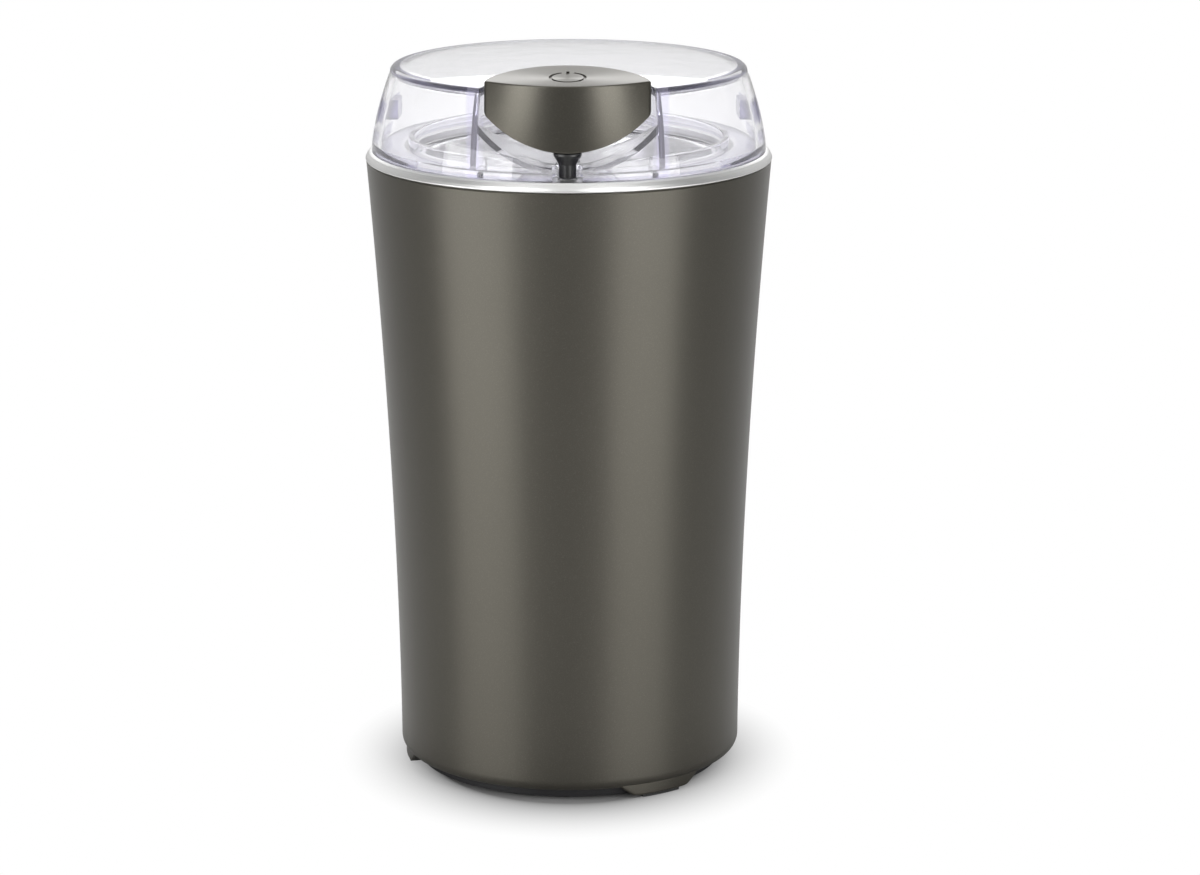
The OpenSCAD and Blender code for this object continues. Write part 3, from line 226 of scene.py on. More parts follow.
def roundedLoop(corners, steps=5):
    # corners: (r, z, radius); gives the loop with each corner rounded
    loop = []
    count = len(corners)
    for i in range(count):
        here = Vector(corners[i][:2])
        radius = corners[i][2]
        before = Vector(corners[i - 1][:2]) - here
        after = Vector(corners[(i + 1) % count][:2]) - here
        if radius <= 0 or before.length < 1e-9 or after.length < 1e-9:
            loop.append(tuple(here))
            continue
        half = before.angle(after) / 2
        reach = min(radius / math.tan(half), before.length * 0.48, after.length * 0.48)
        start = here + before.normalized() * reach
        end = here + after.normalized() * reach
        for k in range(steps + 1):
            t = k / steps
            loop.append(tuple(start * (1 - t) ** 2 + here * 2 * t * (1 - t) + end * t ** 2))
    return loop


def addBox(bm, low, high):
    bmesh.ops.create_cube(bm, size=1.0, matrix=Matrix.Translation(
        [(a + b) / 2 * mm for a, b in zip(low, high)]) @ Matrix.Diagonal(
        [*[(b - a) * mm for a, b in zip(low, high)], 1.0]))


def boxPiece(name, low, high):
    bm = bmesh.new()
    addBox(bm, low, high)
    return newPiece(name, bm)


def prismPiece(name, outline, low, high, axis="z"):
    # outline in mm, seen along the axis
    bm = bmesh.new()

    def rim(level):
        places = [(a, b, level) if axis == "z" else (a, level, b) for a, b in outline]
        return [bm.verts.new((x * mm, y * mm, z * mm)) for x, y, z in places]

    bottom, top = rim(low), rim(high)
    bm.faces.new(bottom)
    bm.faces.new(top)
    for i in range(len(outline)):
        j = (i + 1) % len(outline)
        bm.faces.new((bottom[i], bottom[j], top[j], top[i]))
    return newPiece(name, bm)


def carve(target, tool, operation="DIFFERENCE", keepTool=False):
    modifier = target.modifiers.new("cut", "BOOLEAN")
    modifier.operation = operation
    modifier.object = tool
    modifier.solver = "MANIFOLD"
    bpy.context.view_layer.update()
    graph = bpy.context.evaluated_depsgraph_get()
    result = bpy.data.meshes.new_from_object(target.evaluated_get(graph))
    target.modifiers.clear()
    old = target.data
    target.data = result
    bpy.data.meshes.remove(old)
    if not keepTool:
        bpy.data.objects.remove(tool)
    return target


def copyOf(piece, name):
    twin = piece.copy()
    twin.data = piece.data.copy()
    twin.name = name
    bpy.context.scene.collection.objects.link(twin)
    return twin


def dress(piece, finish, body, slotName, *nodes):
    piece.data.materials.clear()
    piece.data.materials.append(finish.material)
    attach(piece, body)
    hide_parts(*nodes)


def tubeAlong(name, points, radius, sides=12):
    # closed tube through points (mm), with flat ends
    bm = bmesh.new()
    places = [Vector(p) * mm for p in points]
    rings = []
    side = None
    for i, here in enumerate(places):
        ahead = (places[min(i + 1, len(places) - 1)] - places[max(i - 1, 0)]).normalized()
        side = (ahead.orthogonal() if side is None else side - ahead * side.dot(ahead)).normalized()
        other = ahead.cross(side)
        rings.append([bm.verts.new(here + radius * mm * (math.cos(a) * side + math.sin(a) * other))
                      for a in (2 * math.pi * k / sides for k in range(sides))])
    joinRings(bm, rings)
    return newPiece(name, bm, 50)

paintLook = {"colour": (0.083, 0.0775, 0.064), "fleck": (0.138, 0.131, 0.112), "fleckSize": 5200,
             "rough": 0.44, "metal": 0.85, "streak": 0.75, "turn": 0.25}


def satinPaint(name, look):
    # satin metallic paint: fine flecks, a faint orange-peel surface and a little dust in the gloss
    f = Finish(name, Coat_Weight=0.1, Coat_Roughness=0.3, Anisotropic=look["streak"],
               Anisotropic_Rotation=look["turn"])
    flecks = f.noise(look["fleckSize"], 1.0)
    cloud = f.noise(14, 3.0)
    share = ((flecks - 0.52) * 3.4).clamp() * 0.55 + (cloud - 0.5) * 0.16
    f.set("Base_Color", f.blend(share.clamp(), look["colour"], look["fleck"]))
    f.set("Metallic", look["metal"] - (cloud - 0.5).abs() * 0.1)
    f.set("Roughness", look["rough"] + (cloud - 0.5) * 0.08 + (flecks - 0.5) * 0.1)
    peel = f.noise(700, 2.0)
    f.bump(peel * 0.6 + flecks * 0.4, 0.12, 0.00012)
    return f


def brushedSteel(name, colour, rough, turned=True, grain=0.35):
    # fine lines that run round the shaft, or along X on flat pieces
    f = Finish(name, Metallic=1.0)
    if turned:
        x, y, z = f.axis("X"), f.axis("Y"), f.axis("Z")
        radius = (x * x + y * y).root()
        at = f.node("CombineXYZ", inputs={0: radius * 5200, 1: z * 5200, 2: 0.0})
    else:
        at = f.stretched(260, 5200, 5200)
    lines = f.node("TexNoise", inputs={"Vector": at, "Scale": 1.0, "Detail": 4.0, "Roughness": 0.7})
    broad = f.noise(60, 3.0)
    dark = tuple(c * 0.72 for c in colour)
    f.set("Base_Color", f.blend((lines * 0.8 + broad * 0.3 - 0.05).clamp(), dark, colour))
    f.set("Roughness", rough + (lines - 0.5) * 0.22 + (broad - 0.5) * 0.1)
    f.bump(lines, grain, 0.00002)
    return f


def mouldedPlastic(name, colour, rough, grainSize=2600, depth=0.00006):
    f = Finish(name, Metallic=0.0)
    grain = f.noise(grainSize, 3.0, 0.6)
    worn = f.noise(45, 4.0)
    pale = tuple(min(c * 1.35 + 0.012, 1.0) for c in colour)
    f.set("Base_Color", f.blend((worn * 0.7 + grain * 0.3 - 0.2).clamp(), colour, pale))
    f.set("Roughness", rough + (worn - 0.5) * 0.14 + (grain - 0.5) * 0.1)
    f.bump(grain, 0.3, depth)
    return f


def woundCopper(name):
    f = Finish(name, Metallic=0.85, Coat_Weight=0.5, Coat_Roughness=0.15)
    z = f.axis("Z")
    turns = (z * 9000).wave()
    tone = f.noise(220, 3.0)
    f.set("Base_Color", f.blend((turns * 0.25 + tone * 0.6).clamp(), (0.34, 0.11, 0.035), (0.72, 0.33, 0.13)))
    f.set("Roughness", 0.34 + (tone - 0.5) * 0.16)
    f.bump(turns, 0.5, 0.0001)
    return f


def stackedSheets(name):
    f = Finish(name, Metallic=0.9)
    z = f.axis("Z")
    sheets = (z * 12500).wave()
    rust = f.noise(160, 4.0)
    f.set("Base_Color", f.blend((sheets * 0.3 + rust * 0.6).clamp(), (0.09, 0.09, 0.095), (0.36, 0.36, 0.37)))
    f.set("Roughness", 0.42 + (rust - 0.5) * 0.2)
    f.bump(sheets, 0.5, 0.00008)
    return f


lidLook = {"clear": (0.985, 0.985, 0.988), "violet": (0.34, 0.32, 0.52), "paintedRimShade": (0.1, 0.095, 0.17),
           "paintedGlow": (0.085, 0.082, 0.095), "rough": 0.02, "ior": 1.4, "through": 0.95,
           "absorb": (0.62, 0.60, 0.80), "density": 9.0, "shadow": (0.93, 0.925, 0.96),
           "rimZ": (171.9, 173.1), "rimR": 40.5, "footZ": (152.0, 153.6),
           "wallX": (20.5, 23.3), "wallY": -30.0, "lugY": 9.0, "lugZ": (159.9, 165.0), "lugX": 38.5,
           "ridgeZ": (154.8, 157.8), "ridgeX": 43.4}


def clearPlastic(look):
    # clear polished plastic; painted violet where light runs along the wall, violet on the thick lugs, a
    # painted shade line round the top bend and a painted shadow band at the foot
    f = Finish("clearPlastic", Transmission_Weight=look["through"], IOR=look["ior"], Emission_Strength=1.0)
    x, y, z = f.axis("X"), f.axis("Y"), f.axis("Z")

    def band(key):
        low, high = look[key]
        return (z > low * mm) * (z < high * mm)

    beside = y.abs() < look["lugY"] * mm
    lugs = band("lugZ") * (x.abs() > look["lugX"] * mm) * beside
    ridges = band("ridgeZ") * (x.abs() > look["ridgeX"] * mm) * beside
    outside = (x * x + y * y).root() > look["rimR"] * mm
    # painted shade: a dark line round the outside of the top bend
    rim = band("rimZ") * outside
    # painted shadow: a violet band at the foot of the side, where the lid meets the ring
    foot = band("footZ") * outside
    haze = f.noise(90, 3.0)
    scuff = f.noise(800, 2.0, at=f.stretched(1.0, 0.2, 1.0))
    # the cut edges of the button's box get a painted glow and a painted lilac tint, for light that runs inside
    # the wall
    walls = (x.abs() > look["wallX"][0] * mm) * (x.abs() < look["wallX"][1] * mm) * (y < look["wallY"] * mm)
    f.set("Emission_Color", f.blend((walls * (0.7 + haze * 0.5)).clamp(), (0.0, 0.0, 0.0), look["paintedGlow"]))
    share = (lugs * 0.85 + ridges * 0.6 + foot * 0.5 + walls * 0.35 + (haze - 0.5) * 0.06).clamp()
    tintAndPaintedLight = f.blend(share, look["clear"], look["violet"])
    # the painted shade line at the bend goes on here, and a little of the same dark tone on the lugs
    f.set("Base_Color", f.blend(((rim + lugs * 0.3) * (0.8 + haze * 0.3)).clamp(), tintAndPaintedLight, look["paintedRimShade"]))
    f.set("Roughness", (look["rough"] + (scuff - 0.55).clamp() * 0.05 + (haze - 0.5) * 0.01).largest(0.0))
    f.bump(f.noise(160, 2.0), 0.06, 0.00015)
    through = f.node("BsdfTransparent", inputs={"Color": look["shadow"]})
    f.surface(f.mixed(f.node("LightPath", out="Is Shadow Ray"), f.shader, through))
    fill(f.tree, f.output.inputs["Volume"],
         f.node("VolumeAbsorption", inputs={"Color": look["absorb"], "Density": look["density"]}))
    return f


bodyPaint = satinPaint("bodyPaint", paintLook)
buttonPaint = satinPaint("buttonPaint", {**paintLook, "colour": (0.08, 0.075, 0.062), "rough": 0.36})
ringSteel = brushedSteel("ringSteel", (0.84, 0.84, 0.83), 0.38)
bowlSteel = brushedSteel("bowlSteel", (0.7, 0.7, 0.7), 0.24)
bladeSteel = brushedSteel("bladeSteel", (0.74, 0.74, 0.75), 0.2, turned=False)
screwSteel = brushedSteel("screwSteel", (0.55, 0.56, 0.58), 0.32)
springSteel = brushedSteel("springSteel", (0.6, 0.6, 0.61), 0.22)
castAluminium = brushedSteel("castAluminium", (0.42, 0.42, 0.43), 0.5, turned=False, grain=0.15)
blackPlastic = mouldedPlastic("blackPlastic", (0.012, 0.012, 0.013), 0.36)
plungerPlastic = mouldedPlastic("plungerPlastic", (0.003, 0.003, 0.003), 0.35, 900, 0.00002)
darkPlastic = mouldedPlastic("darkPlastic", (0.045, 0.045, 0.047), 0.42)
whitePlastic = mouldedPlastic("whitePlastic", (0.68, 0.68, 0.64), 0.38)
redPlastic = mouldedPlastic("redPlastic", (0.5, 0.04, 0.02), 0.3)
rubber = mouldedPlastic("rubber", (0.018, 0.018, 0.018), 0.68, 1500, 0.00012)
carbon = mouldedPlastic("carbon", (0.022, 0.022, 0.024), 0.5, 4000)
capacitorCase = mouldedPlastic("capacitorCase", (0.09, 0.06, 0.03), 0.3)
bronze = brushedSteel("bronze", (0.62, 0.42, 0.2), 0.36)
copper = woundCopper("copper")
lamination = stackedSheets("lamination")
clearLid = clearPlastic(lidLook)

slotFinish = {
    "body_paint": bodyPaint, "button_paint": buttonPaint, "rubber": rubber, "black_plastic": blackPlastic,
    "dark_plastic": darkPlastic, "white_plastic": whitePlastic, "red_plastic": redPlastic,
    "clear_plastic": clearLid, "ring_steel": ringSteel, "bowl_steel": bowlSteel, "blade_steel": bladeSteel,
    "screw_steel": screwSteel, "spring_steel": springSteel, "lamination": lamination, "copper": copper,
    "bronze": bronze, "cast_aluminium": castAluminium, "carbon": carbon, "capacitor_case": capacitorCase,
}
for part in frame["record"]["subparts"]:
    node = frame["nodes"][part["node"]]
    for holder in node.material_slots:
        holder.material = slotFinish[part["material_slot"]].material
print("finishes ready")

housing = {"baseR": 41.75, "flare": 7.15, "power": 1.8, "top": 150.4, "wall": 2.2, "lift": 2.8, "round": 3.0,
           "lipR": 37.55, "lipTop": 6.4, "chamfer": 2.0, "topRound": 0.5, "around": 360, "up": 72,
           "footZ": 0.6, "footR": 40.75, "footTop": 5.0, "footRound": 0.7, "footSpan": 22, "footEnd": 6.5,
           "footSide": 35, "footPhase": -56, "inletZ": 16.0, "inletR": 4.66}


def housingR(z):
    h = housing
    return h["baseR"] + h["flare"] * (max(z, 0) / h["top"]) ** h["power"]


def footPiece(middle):
    # an arc under the bottom edge whose two ends rise softly into the housing
    h = housing
    bm = bmesh.new()
    rings = []
    reach = h["footSpan"] / 2 + h["footEnd"]
    for k in range(61):
        off = reach * (k / 30 - 1)
        run = math.radians(abs(off) - h["footSpan"] / 2) * h["footR"]
        low = h["footZ"] + math.tan(math.radians(h["footSide"])) * (run + math.hypot(run, 0.6)) / 2
        loop = roundedLoop([(h["lipR"] + 0.4, h["footTop"], 0), (h["lipR"] + 0.4, low, 0),
                            (h["footR"], low, h["footRound"]), (h["footR"], h["footTop"], 0)], 4)
        places = [(*arcPoint((0, 0), r, middle + off), z) for r, z in loop]
        rings.append([bm.verts.new((x * mm, y * mm, z * mm)) for x, y, z in places])
    joinRings(bm, rings)
    return newPiece("foot", bm, 50)


def makeHousing():
    h = housing
    low = h["lift"]
    loop = [(h["lipR"], low + 0.3), (h["lipR"] + 0.3, low)]
    edgeR = housingR(low + h["round"])
    for k in range(13):
        loop.append(arcPoint((edgeR - h["round"], low + h["round"]), h["round"], -90 + 90 * k / 12))
    start, end = low + h["round"], h["top"] - h["topRound"]
    for k in range(1, h["up"] + 1):
        z = start + (end - start) * k / h["up"]
        loop.append((housingR(z), z))
    loop.append((housingR(h["top"]) - h["topRound"], h["top"]))
    loop.append((housingR(h["top"]) - h["wall"], h["top"]))
    inLow = h["lipTop"] + h["chamfer"]
    for k in range(1, 25):
        z = h["top"] + (inLow - h["top"]) * k / 24
        loop.append((housingR(z) - h["wall"], z))
    loop.append((h["lipR"], h["lipTop"]))
    shell = lathePiece("housing_shell", loop, h["around"], 50)
    for k in range(3):
        carve(shell, footPiece(h["footPhase"] + 120 * k), "UNION")
    hole = rodPiece("inletHole", h["inletR"], 34, 50)
    hole.data.transform(Matrix.Translation((0, 0, h["inletZ"] * mm))
                        @ Matrix.Rotation(math.radians(-90), 4, "X"))
    carve(shell, hole)
    resharpen(shell, 45)
    dress(shell, bodyPaint, "housing", "body_paint", "outer_shell")


makeHousing()

ring = {"r": 49.05, "low": 150.4, "top": 152.6, "landR": 47.65, "boreR": 39.6, "t": 1.2,
        "skirtOut": 45.3, "skirtT": 0.6, "skirtLow": 136.7, "holeR": 2.3, "holeY": -42.5}


def makeRing():
    g = ring
    loop = roundedLoop([
        (g["r"] - 1.9, g["low"], 0), (g["r"] - 0.15, g["low"] + 0.01, 0.08), (g["r"], g["low"] + 0.3, 0.2),
        (g["r"] - 0.3, g["low"] + 1.0, 0.6), (g["r"] - 0.85, g["top"] - 0.46, 0.5),
        (g["landR"], g["top"], 0.4), (g["boreR"], g["top"], 0.3), (g["boreR"], g["top"] - g["t"], 0),
        (g["skirtOut"] - g["skirtT"], g["top"] - g["t"], 0), (g["skirtOut"] - g["skirtT"], g["skirtLow"], 0),
        (g["skirtOut"], g["skirtLow"], 0), (g["skirtOut"], g["top"] - g["t"], 0),
        (g["r"] - 1.9, g["top"] - g["t"], 0)], 6)
    band = lathePiece("top_band", loop, 360, 28)
    carve(band, rodPiece("bandHole", g["holeR"], g["top"] - 3, g["top"] + 2, g["holeY"]))
    resharpen(band, 28)
    dress(band, ringSteel, "housing", "ring_steel", "top_ring")


makeRing()

bowl = {"r": 35.5, "t": 0.8, "rim": 150.6, "floor": 107.0, "bend": 11.0, "rimR": 39.2, "holeR": 5.06,
        "roll": 1.2}


def makeBowl():
    b = bowl
    inside = [(b["holeR"], b["floor"])]
    outside = [(b["holeR"], b["floor"] - b["t"])]
    centre = b["r"] - b["bend"], b["floor"] + b["bend"]
    for k in range(25):
        inside.append(arcPoint(centre, b["bend"], -90 + 90 * k / 24))
        outside.append(arcPoint(centre, b["bend"] + b["t"], -90 + 90 * k / 24))
    for k in range(1, 7):
        inside.append(arcPoint((b["r"] + b["roll"], b["rim"] - b["roll"]), b["roll"], 180 - 90 * k / 6))
    inside += [(b["rimR"] - 0.2, b["rim"]), (b["rimR"], b["rim"] - 0.3)]
    outside += [(b["r"] + b["t"], b["rim"] - b["t"] - 0.4), (b["r"] + b["t"] + 0.4, b["rim"] - b["t"]),
                (b["rimR"], b["rim"] - b["t"])]
    cup = lathePiece("grinding_bowl", inside + outside[::-1], 256, 35)
    dress(cup, bowlSteel, "housing", "bowl_steel", "bowl")


makeBowl()
print("housing, ring and bowl made")

lid = {"r": 47.5, "low": 152.9, "taper": 5.09, "power": 1.5, "side": 20.0, "crown": 1.7, "round": 1.4,
       "t": 2.2, "skirtR": 38.7, "skirtT": 1.5, "skirtLow": 151.0, "skirtTop": 156.0, "shoulder": 1.5,
       "planY": -42.8, "planR": 20.3, "gap": 0.8, "wall": 1.5, "inHalf": 20.8, "outHalf": 23.1,
       "boxLow": 153.4, "curveR": 27.5, "curveLow": 155.3, "guideY": -42.5, "guideIn": 3.5, "guideOut": 4.85,
       "pegY": -33.0, "pegR": 1.6, "pegTop": 158.3, "lugLow": 160.1, "lugHigh": 164.8, "lugHalf": 4.5,
       "lugDepth": 3.4, "ridgeDepth": 1.0, "ridgeUp": 2.0, "ridgeStep": 1.7, "ridgeH": 0.85, "steps": 320}


def lidSideR(z):
    return lid["r"] - lid["taper"] * max((z - lid["low"]) / lid["side"], 0) ** lid["power"]


def domeLoop(inset, base):
    # half outline of the lid's solid, from the axis at the base to the axis at the crown
    g = lid
    straight = g["side"] - g["round"]
    loop = [(0, base), (lidSideR(g["low"]) - inset, base)]
    for k in range(25):
        z = g["low"] + straight * k / 24
        if z > base + 0.01:
            loop.append((lidSideR(z) - inset, z))
    topR = lidSideR(g["low"] + straight)
    turnR = topR - g["round"]
    bend = max(g["round"] - inset, 0.25) if inset else g["round"]
    cornerR, cornerZ = topR - inset - bend, g["low"] + g["side"] - inset - bend
    for k in range(1, 13):
        loop.append(arcPoint((cornerR, cornerZ), bend, 90 * k / 12))
    crownR = (turnR ** 2 + g["crown"] ** 2) / (2 * g["crown"])
    centreZ = g["low"] + g["side"] + g["crown"] - crownR
    for k in range(1, 30):
        r = cornerR * (1 - k / 29)
        loop.append((r, centreZ + math.sqrt(crownR ** 2 - r ** 2) - inset))
    return loop


def planOutline(grow, half, cornerR=0.5):
    # the button's plan seen from above: straight sides and a round back
    r = lid["planR"] + grow
    start = math.acos(min(half / r, 1.0))
    arc = [(r * math.cos(a), lid["planY"] + r * math.sin(a))
           for a in (start + (math.pi - 2 * start) * k / 72 for k in range(73))]
    return [(half, lid["planY"] - 12)] + arc + [(-half, lid["planY"] - 12)]


def drumAlongY(name, r, lowZ):
    # a long drum lying along Y, whose lowest line is at lowZ, open upwards
    outline = [(r * math.cos(a), lowZ + r + r * math.sin(a))
               for a in (math.pi + math.pi * k / 96 for k in range(97))]
    return prismPiece(name, outline + [(r, lowZ + 60), (-r, lowZ + 60)], -90, 10, "y")


def makeLid():
    g = lid
    steps = g["steps"]
    outer = lathePiece("outer", domeLoop(0, g["low"]), steps, 28, closed=False)
    inner = lathePiece("inner", domeLoop(g["t"], g["low"] - 1), steps, 28, closed=False)
    frontWall = carve(copyOf(outer, "frontWall"), inner, keepTool=True)
    cover = copyOf(frontWall, "lid_cover_clear")
    shoulder = lathePiece("shoulder", roundedLoop([
        (g["r"] - g["t"] + 0.5, g["low"], 0), (g["r"] - g["t"] + 0.5, g["low"] + g["shoulder"], 0),
        (g["skirtR"] - 0.4, g["low"] + g["shoulder"], 0), (g["skirtR"] - 0.4, g["low"], 0)]), steps)
    skirt = lathePiece("skirt", roundedLoop([
        (g["skirtR"], g["skirtLow"], 0.5), (g["skirtR"], g["skirtTop"], 0.5),
        (g["skirtR"] - g["skirtT"], g["skirtTop"], 0.5),
        (g["skirtR"] - g["skirtT"], g["skirtLow"], 0.5)]), steps)
    carve(cover, shoulder, "UNION")
    carve(cover, skirt, "UNION")
    # the box that holds the button: walls, curved floor and the plunger's guide
    box = prismPiece("box", planOutline(g["gap"] + g["wall"], g["outHalf"]), g["boxLow"], 180)
    hollow = prismPiece("hollow", planOutline(g["gap"], g["outHalf"] - g["wall"]), 150, 185)
    carve(hollow, drumAlongY("under", g["curveR"] + g["wall"], g["curveLow"] - g["wall"]))
    carve(hollow, rodPiece("guide", g["guideOut"], 140, 200, g["guideY"], 96))
    carve(hollow, frontWall)
    carve(box, hollow)
    carve(box, outer, "INTERSECT", keepTool=True)
    carve(cover, box, "UNION")
    peg = lathePiece("peg", roundedLoop([(0, g["curveLow"] - 0.6, 0), (g["pegR"], g["curveLow"] - 0.6, 0),
                                         (g["pegR"], g["pegTop"], 0.4), (0, g["pegTop"], 0)]), 48)
    peg.data.transform(Matrix.Translation((0, g["pegY"] * mm, 0)))
    # snap lugs with two small ribs under each
    thick = lathePiece("thick", domeLoop(g["t"] / 2, g["low"] - 1), steps, 28, closed=False)
    lugs = bmesh.new()
    blocks = [(lidSideR(g["lugLow"]) - g["t"] - g["lugDepth"], g["lugHalf"], g["lugLow"], g["lugHigh"])]
    for k in (0, 1):
        low = g["low"] + g["ridgeUp"] + k * g["ridgeStep"]
        blocks.append((g["r"] - g["t"] - g["ridgeDepth"], g["lugHalf"] * 1.2, low, low + g["ridgeH"]))
    for near, half, low, high in blocks:
        addBox(lugs, (near, -half, low), (50, half, high))
        addBox(lugs, (-50, -half, low), (-near, half, high))
    lugs = newPiece("lugs", lugs)
    carve(lugs, thick, "INTERSECT")
    carve(cover, lugs, "UNION")
    # room for the button, and the plunger's hole
    room = prismPiece("room", planOutline(g["gap"], g["inHalf"]), 150, 190)
    carve(room, drumAlongY("floor", g["curveR"], g["curveLow"]), "INTERSECT")
    carve(cover, room)
    carve(cover, peg, "UNION")
    carve(cover, rodPiece("bore", g["guideIn"], 145, 160, g["guideY"], 96))
    carve(cover, boxPiece("notch", (-g["guideIn"], -50, g["low"] - 5),
                          (g["guideIn"], g["guideY"], g["pegTop"])))
    bpy.data.objects.remove(outer)
    bpy.data.objects.remove(inner)
    resharpen(cover, 25)
    dress(cover, clearLid, "lid", "clear_plastic", "lid_cover")


makeLid()
print("lid made")

button = {"half": 19.35, "inset": 0.25, "rearR": 20.3, "frontZ": 174.0, "tilt": 6.5, "low": 159.1,
          "curveR": 27.1, "wall": 1.8, "symbolY": -33.5, "symbolR": 4.4, "line": 0.7, "depth": 0.35,
          "bossR": 3.0, "bossY": -42.5, "seatR": 3.3, "seatY": -33.0, "seatZ": 166.3, "pegR": 1.6,
          "pegLow": 163.3}


def buttonTop(y):
    b = button
    return b["frontZ"] + (y + lidSideR(b["frontZ"]) - b["inset"]) * math.tan(math.radians(b["tilt"]))


def buttonSection(x, inset, lowZ, edge):
    # one slice across X: front wall, top, back and underside, with rounded corners
    b = button

    def front(z):
        r = lidSideR(z) - b["inset"] - inset
        return -math.sqrt(max(r * r - x * x, 1.0))

    rear = lid["planY"] + math.sqrt(max((b["rearR"] - inset) ** 2 - x * x, 0.01))
    low = lowZ if lowZ else b["low"] + b["curveR"] - math.sqrt(max((b["curveR"] - inset) ** 2 - x * x, 1.0))
    topZ = b["frontZ"] - inset
    for _ in range(6):
        topZ = buttonTop(front(topZ)) - inset
    rear = max(rear, front(topZ) + 0.35)
    count = 16
    corners = []
    for k in range(count + 1):
        z = low + (topZ - low) * k / count
        corners.append((front(z), z, edge if k in (0, count) else 0))
    for k in range(1, 9):
        y = front(topZ) + (rear - front(topZ)) * k / 8
        corners.append((y, buttonTop(y) - inset, edge if k == 8 else 0))
    rearZ = buttonTop(rear) - inset
    for k in range(1, 9):
        corners.append((rear, rearZ + (low - rearZ) * k / 8, edge if k == 8 else 0))
    for k in range(1, 4):
        corners.append((rear + (front(low) - rear) * k / 4, low, 0))
    return roundedLoop(corners, 4)


def buttonSweep(name, inset, lowZ=None, edge=0.55):
    half = button["half"] - inset
    columns = []
    for k in range(6):
        a = math.radians(90 * k / 5)
        columns.append((half - edge + edge * math.sin(a), edge * (1 - math.cos(a))))
    count = 96
    inner = [((half - edge) * (1 - 2 * k / count), 0.0) for k in range(1, count)]
    whole = columns[::-1] + inner + [(-x, e) for x, e in columns]
    bm = bmesh.new()
    rings = []
    for x, extra in whole:
        section = buttonSection(x, inset + extra, lowZ, edge)
        rings.append([bm.verts.new((x * mm, y * mm, z * mm)) for y, z in section])
    joinRings(bm, rings)
    return newPiece(name, bm, 40)


def ringSector(outer, inner, start, end, steps=64):
    arc = [start + (end - start) * k / steps for k in range(steps + 1)]
    return [arcPoint((0, 0), outer, a) for a in arc] + [arcPoint((0, 0), inner, a) for a in reversed(arc)]


def makeButton():
    b = button
    cap = buttonSweep("button_cap", 0)
    inside = buttonSweep("inside", b["wall"], 150.0, 0.3)
    whole = copyOf(cap, "whole")
    carve(cap, inside)
    for y, r, low in ((b["bossY"], b["bossR"], b["low"]), (b["seatY"], b["seatR"], b["seatZ"]),
                      (b["seatY"], b["pegR"], b["pegLow"])):
        post = rodPiece("post", r, low, 190, y)
        carve(post, whole, "INTERSECT", keepTool=True)
        carve(cap, post, "UNION")
    web = boxPiece("web", (-0.75, b["bossY"], b["seatZ"] + 1), (0.75, b["seatY"], 190))
    carve(web, whole, "INTERSECT")
    carve(cap, web, "UNION")
    # power sign, sunk into the top
    r, w = b["symbolR"], b["line"]
    gapAngle = math.degrees(math.asin(2.2 * w / r))
    tilt = (Matrix.Translation((0, b["symbolY"] * mm, buttonTop(b["symbolY"]) * mm))
            @ Matrix.Rotation(math.radians(b["tilt"]), 4, "X"))
    for outline in (ringSector(r, r - w, 90 + gapAngle, 450 - gapAngle),
                    [(-w / 2, r * 0.1), (w / 2, r * 0.1), (w / 2, r * 1.15), (-w / 2, r * 1.15)]):
        mark = prismPiece("mark", outline, -b["depth"], 2)
        mark.data.transform(tilt)
        carve(cap, mark)
    resharpen(cap, 32)
    dress(cap, buttonPaint, "button", "button_paint", "power_button")


makeButton()

plunger = {"y": -42.5, "tipR": 2.05, "low": 152.9, "cone": 156.1, "coneTop": 158.3, "r": 3.35, "top": 158.9,
           "stemR": 1.8, "stemTop": 163.7}


def makePlunger():
    p = plunger
    pin = lathePiece("button_pin", roundedLoop([
        (0, p["low"], 0), (p["tipR"], p["low"], 0.35), (p["tipR"], p["cone"], 0.3),
        (p["r"], p["coneTop"], 0.3), (p["r"], p["top"], 0.15), (p["stemR"], p["top"], 0),
        (p["stemR"], p["stemTop"], 0.2), (0, p["stemTop"], 0)]), 96, 40, closed=False)
    pin.data.transform(Matrix.Translation((0, p["y"] * mm, 0)))
    dress(pin, plungerPlastic, "button", "black_plastic", "button_plunger")


makePlunger()

springs = {
    "button_coil": {"replaces": "button_spring", "joint": "button_press", "at": (0, -33.0), "r": 2.45,
                    "wire": 0.35, "low": 155.8, "high": 165.8, "turns": 7, "body": "lid", "keep": 0.70},
    "rod_coil": {"replaces": "rod_spring", "joint": "rod_slide", "at": (0, -40.6), "r": 2.1,
                 "wire": 0.35, "low": 137.15, "high": 147.05, "turns": 7, "body": "housing", "keep": 0.69},
}


def coilPoints(s, perTurn=28):
    # closed end turns, open ones between
    rise = s["high"] - s["low"]
    dead, still = 0.09, 0.12
    points = []
    count = int(s["turns"] * perTurn)
    for k in range(count + 1):
        t = k / count
        if t < still:
            h = dead * t / still
        elif t > 1 - still:
            h = 1 - dead * (1 - t) / still
        else:
            h = dead + (1 - 2 * dead) * (t - still) / (1 - 2 * still)
        points.append((*arcPoint(s["at"], s["r"], 360 * s["turns"] * t), s["low"] + rise * h))
    return points


for name, s in springs.items():
    coil = tubeAlong(name, coilPoints(s), s["wire"], 10)
    dress(coil, springSteel, s["body"], "spring_steel", s["replaces"])
    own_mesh(coil)
print("button, plunger and springs made")

blade = {"z": 111.5, "t": 1.6, "flat": 14.0, "tip": 16.0, "bend": 22.0, "w": 9.0, "bevel": 2.4, "hubR": 6.48,
         "holeR": 2.55, "sweep": 2.2, "rearShare": 0.47, "tipCut": 0.30, "tipRun": 3.2, "bendSoft": 1.2,
         "grindFrom": 7.5, "grindRun": 2.0, "grind": 0.86}


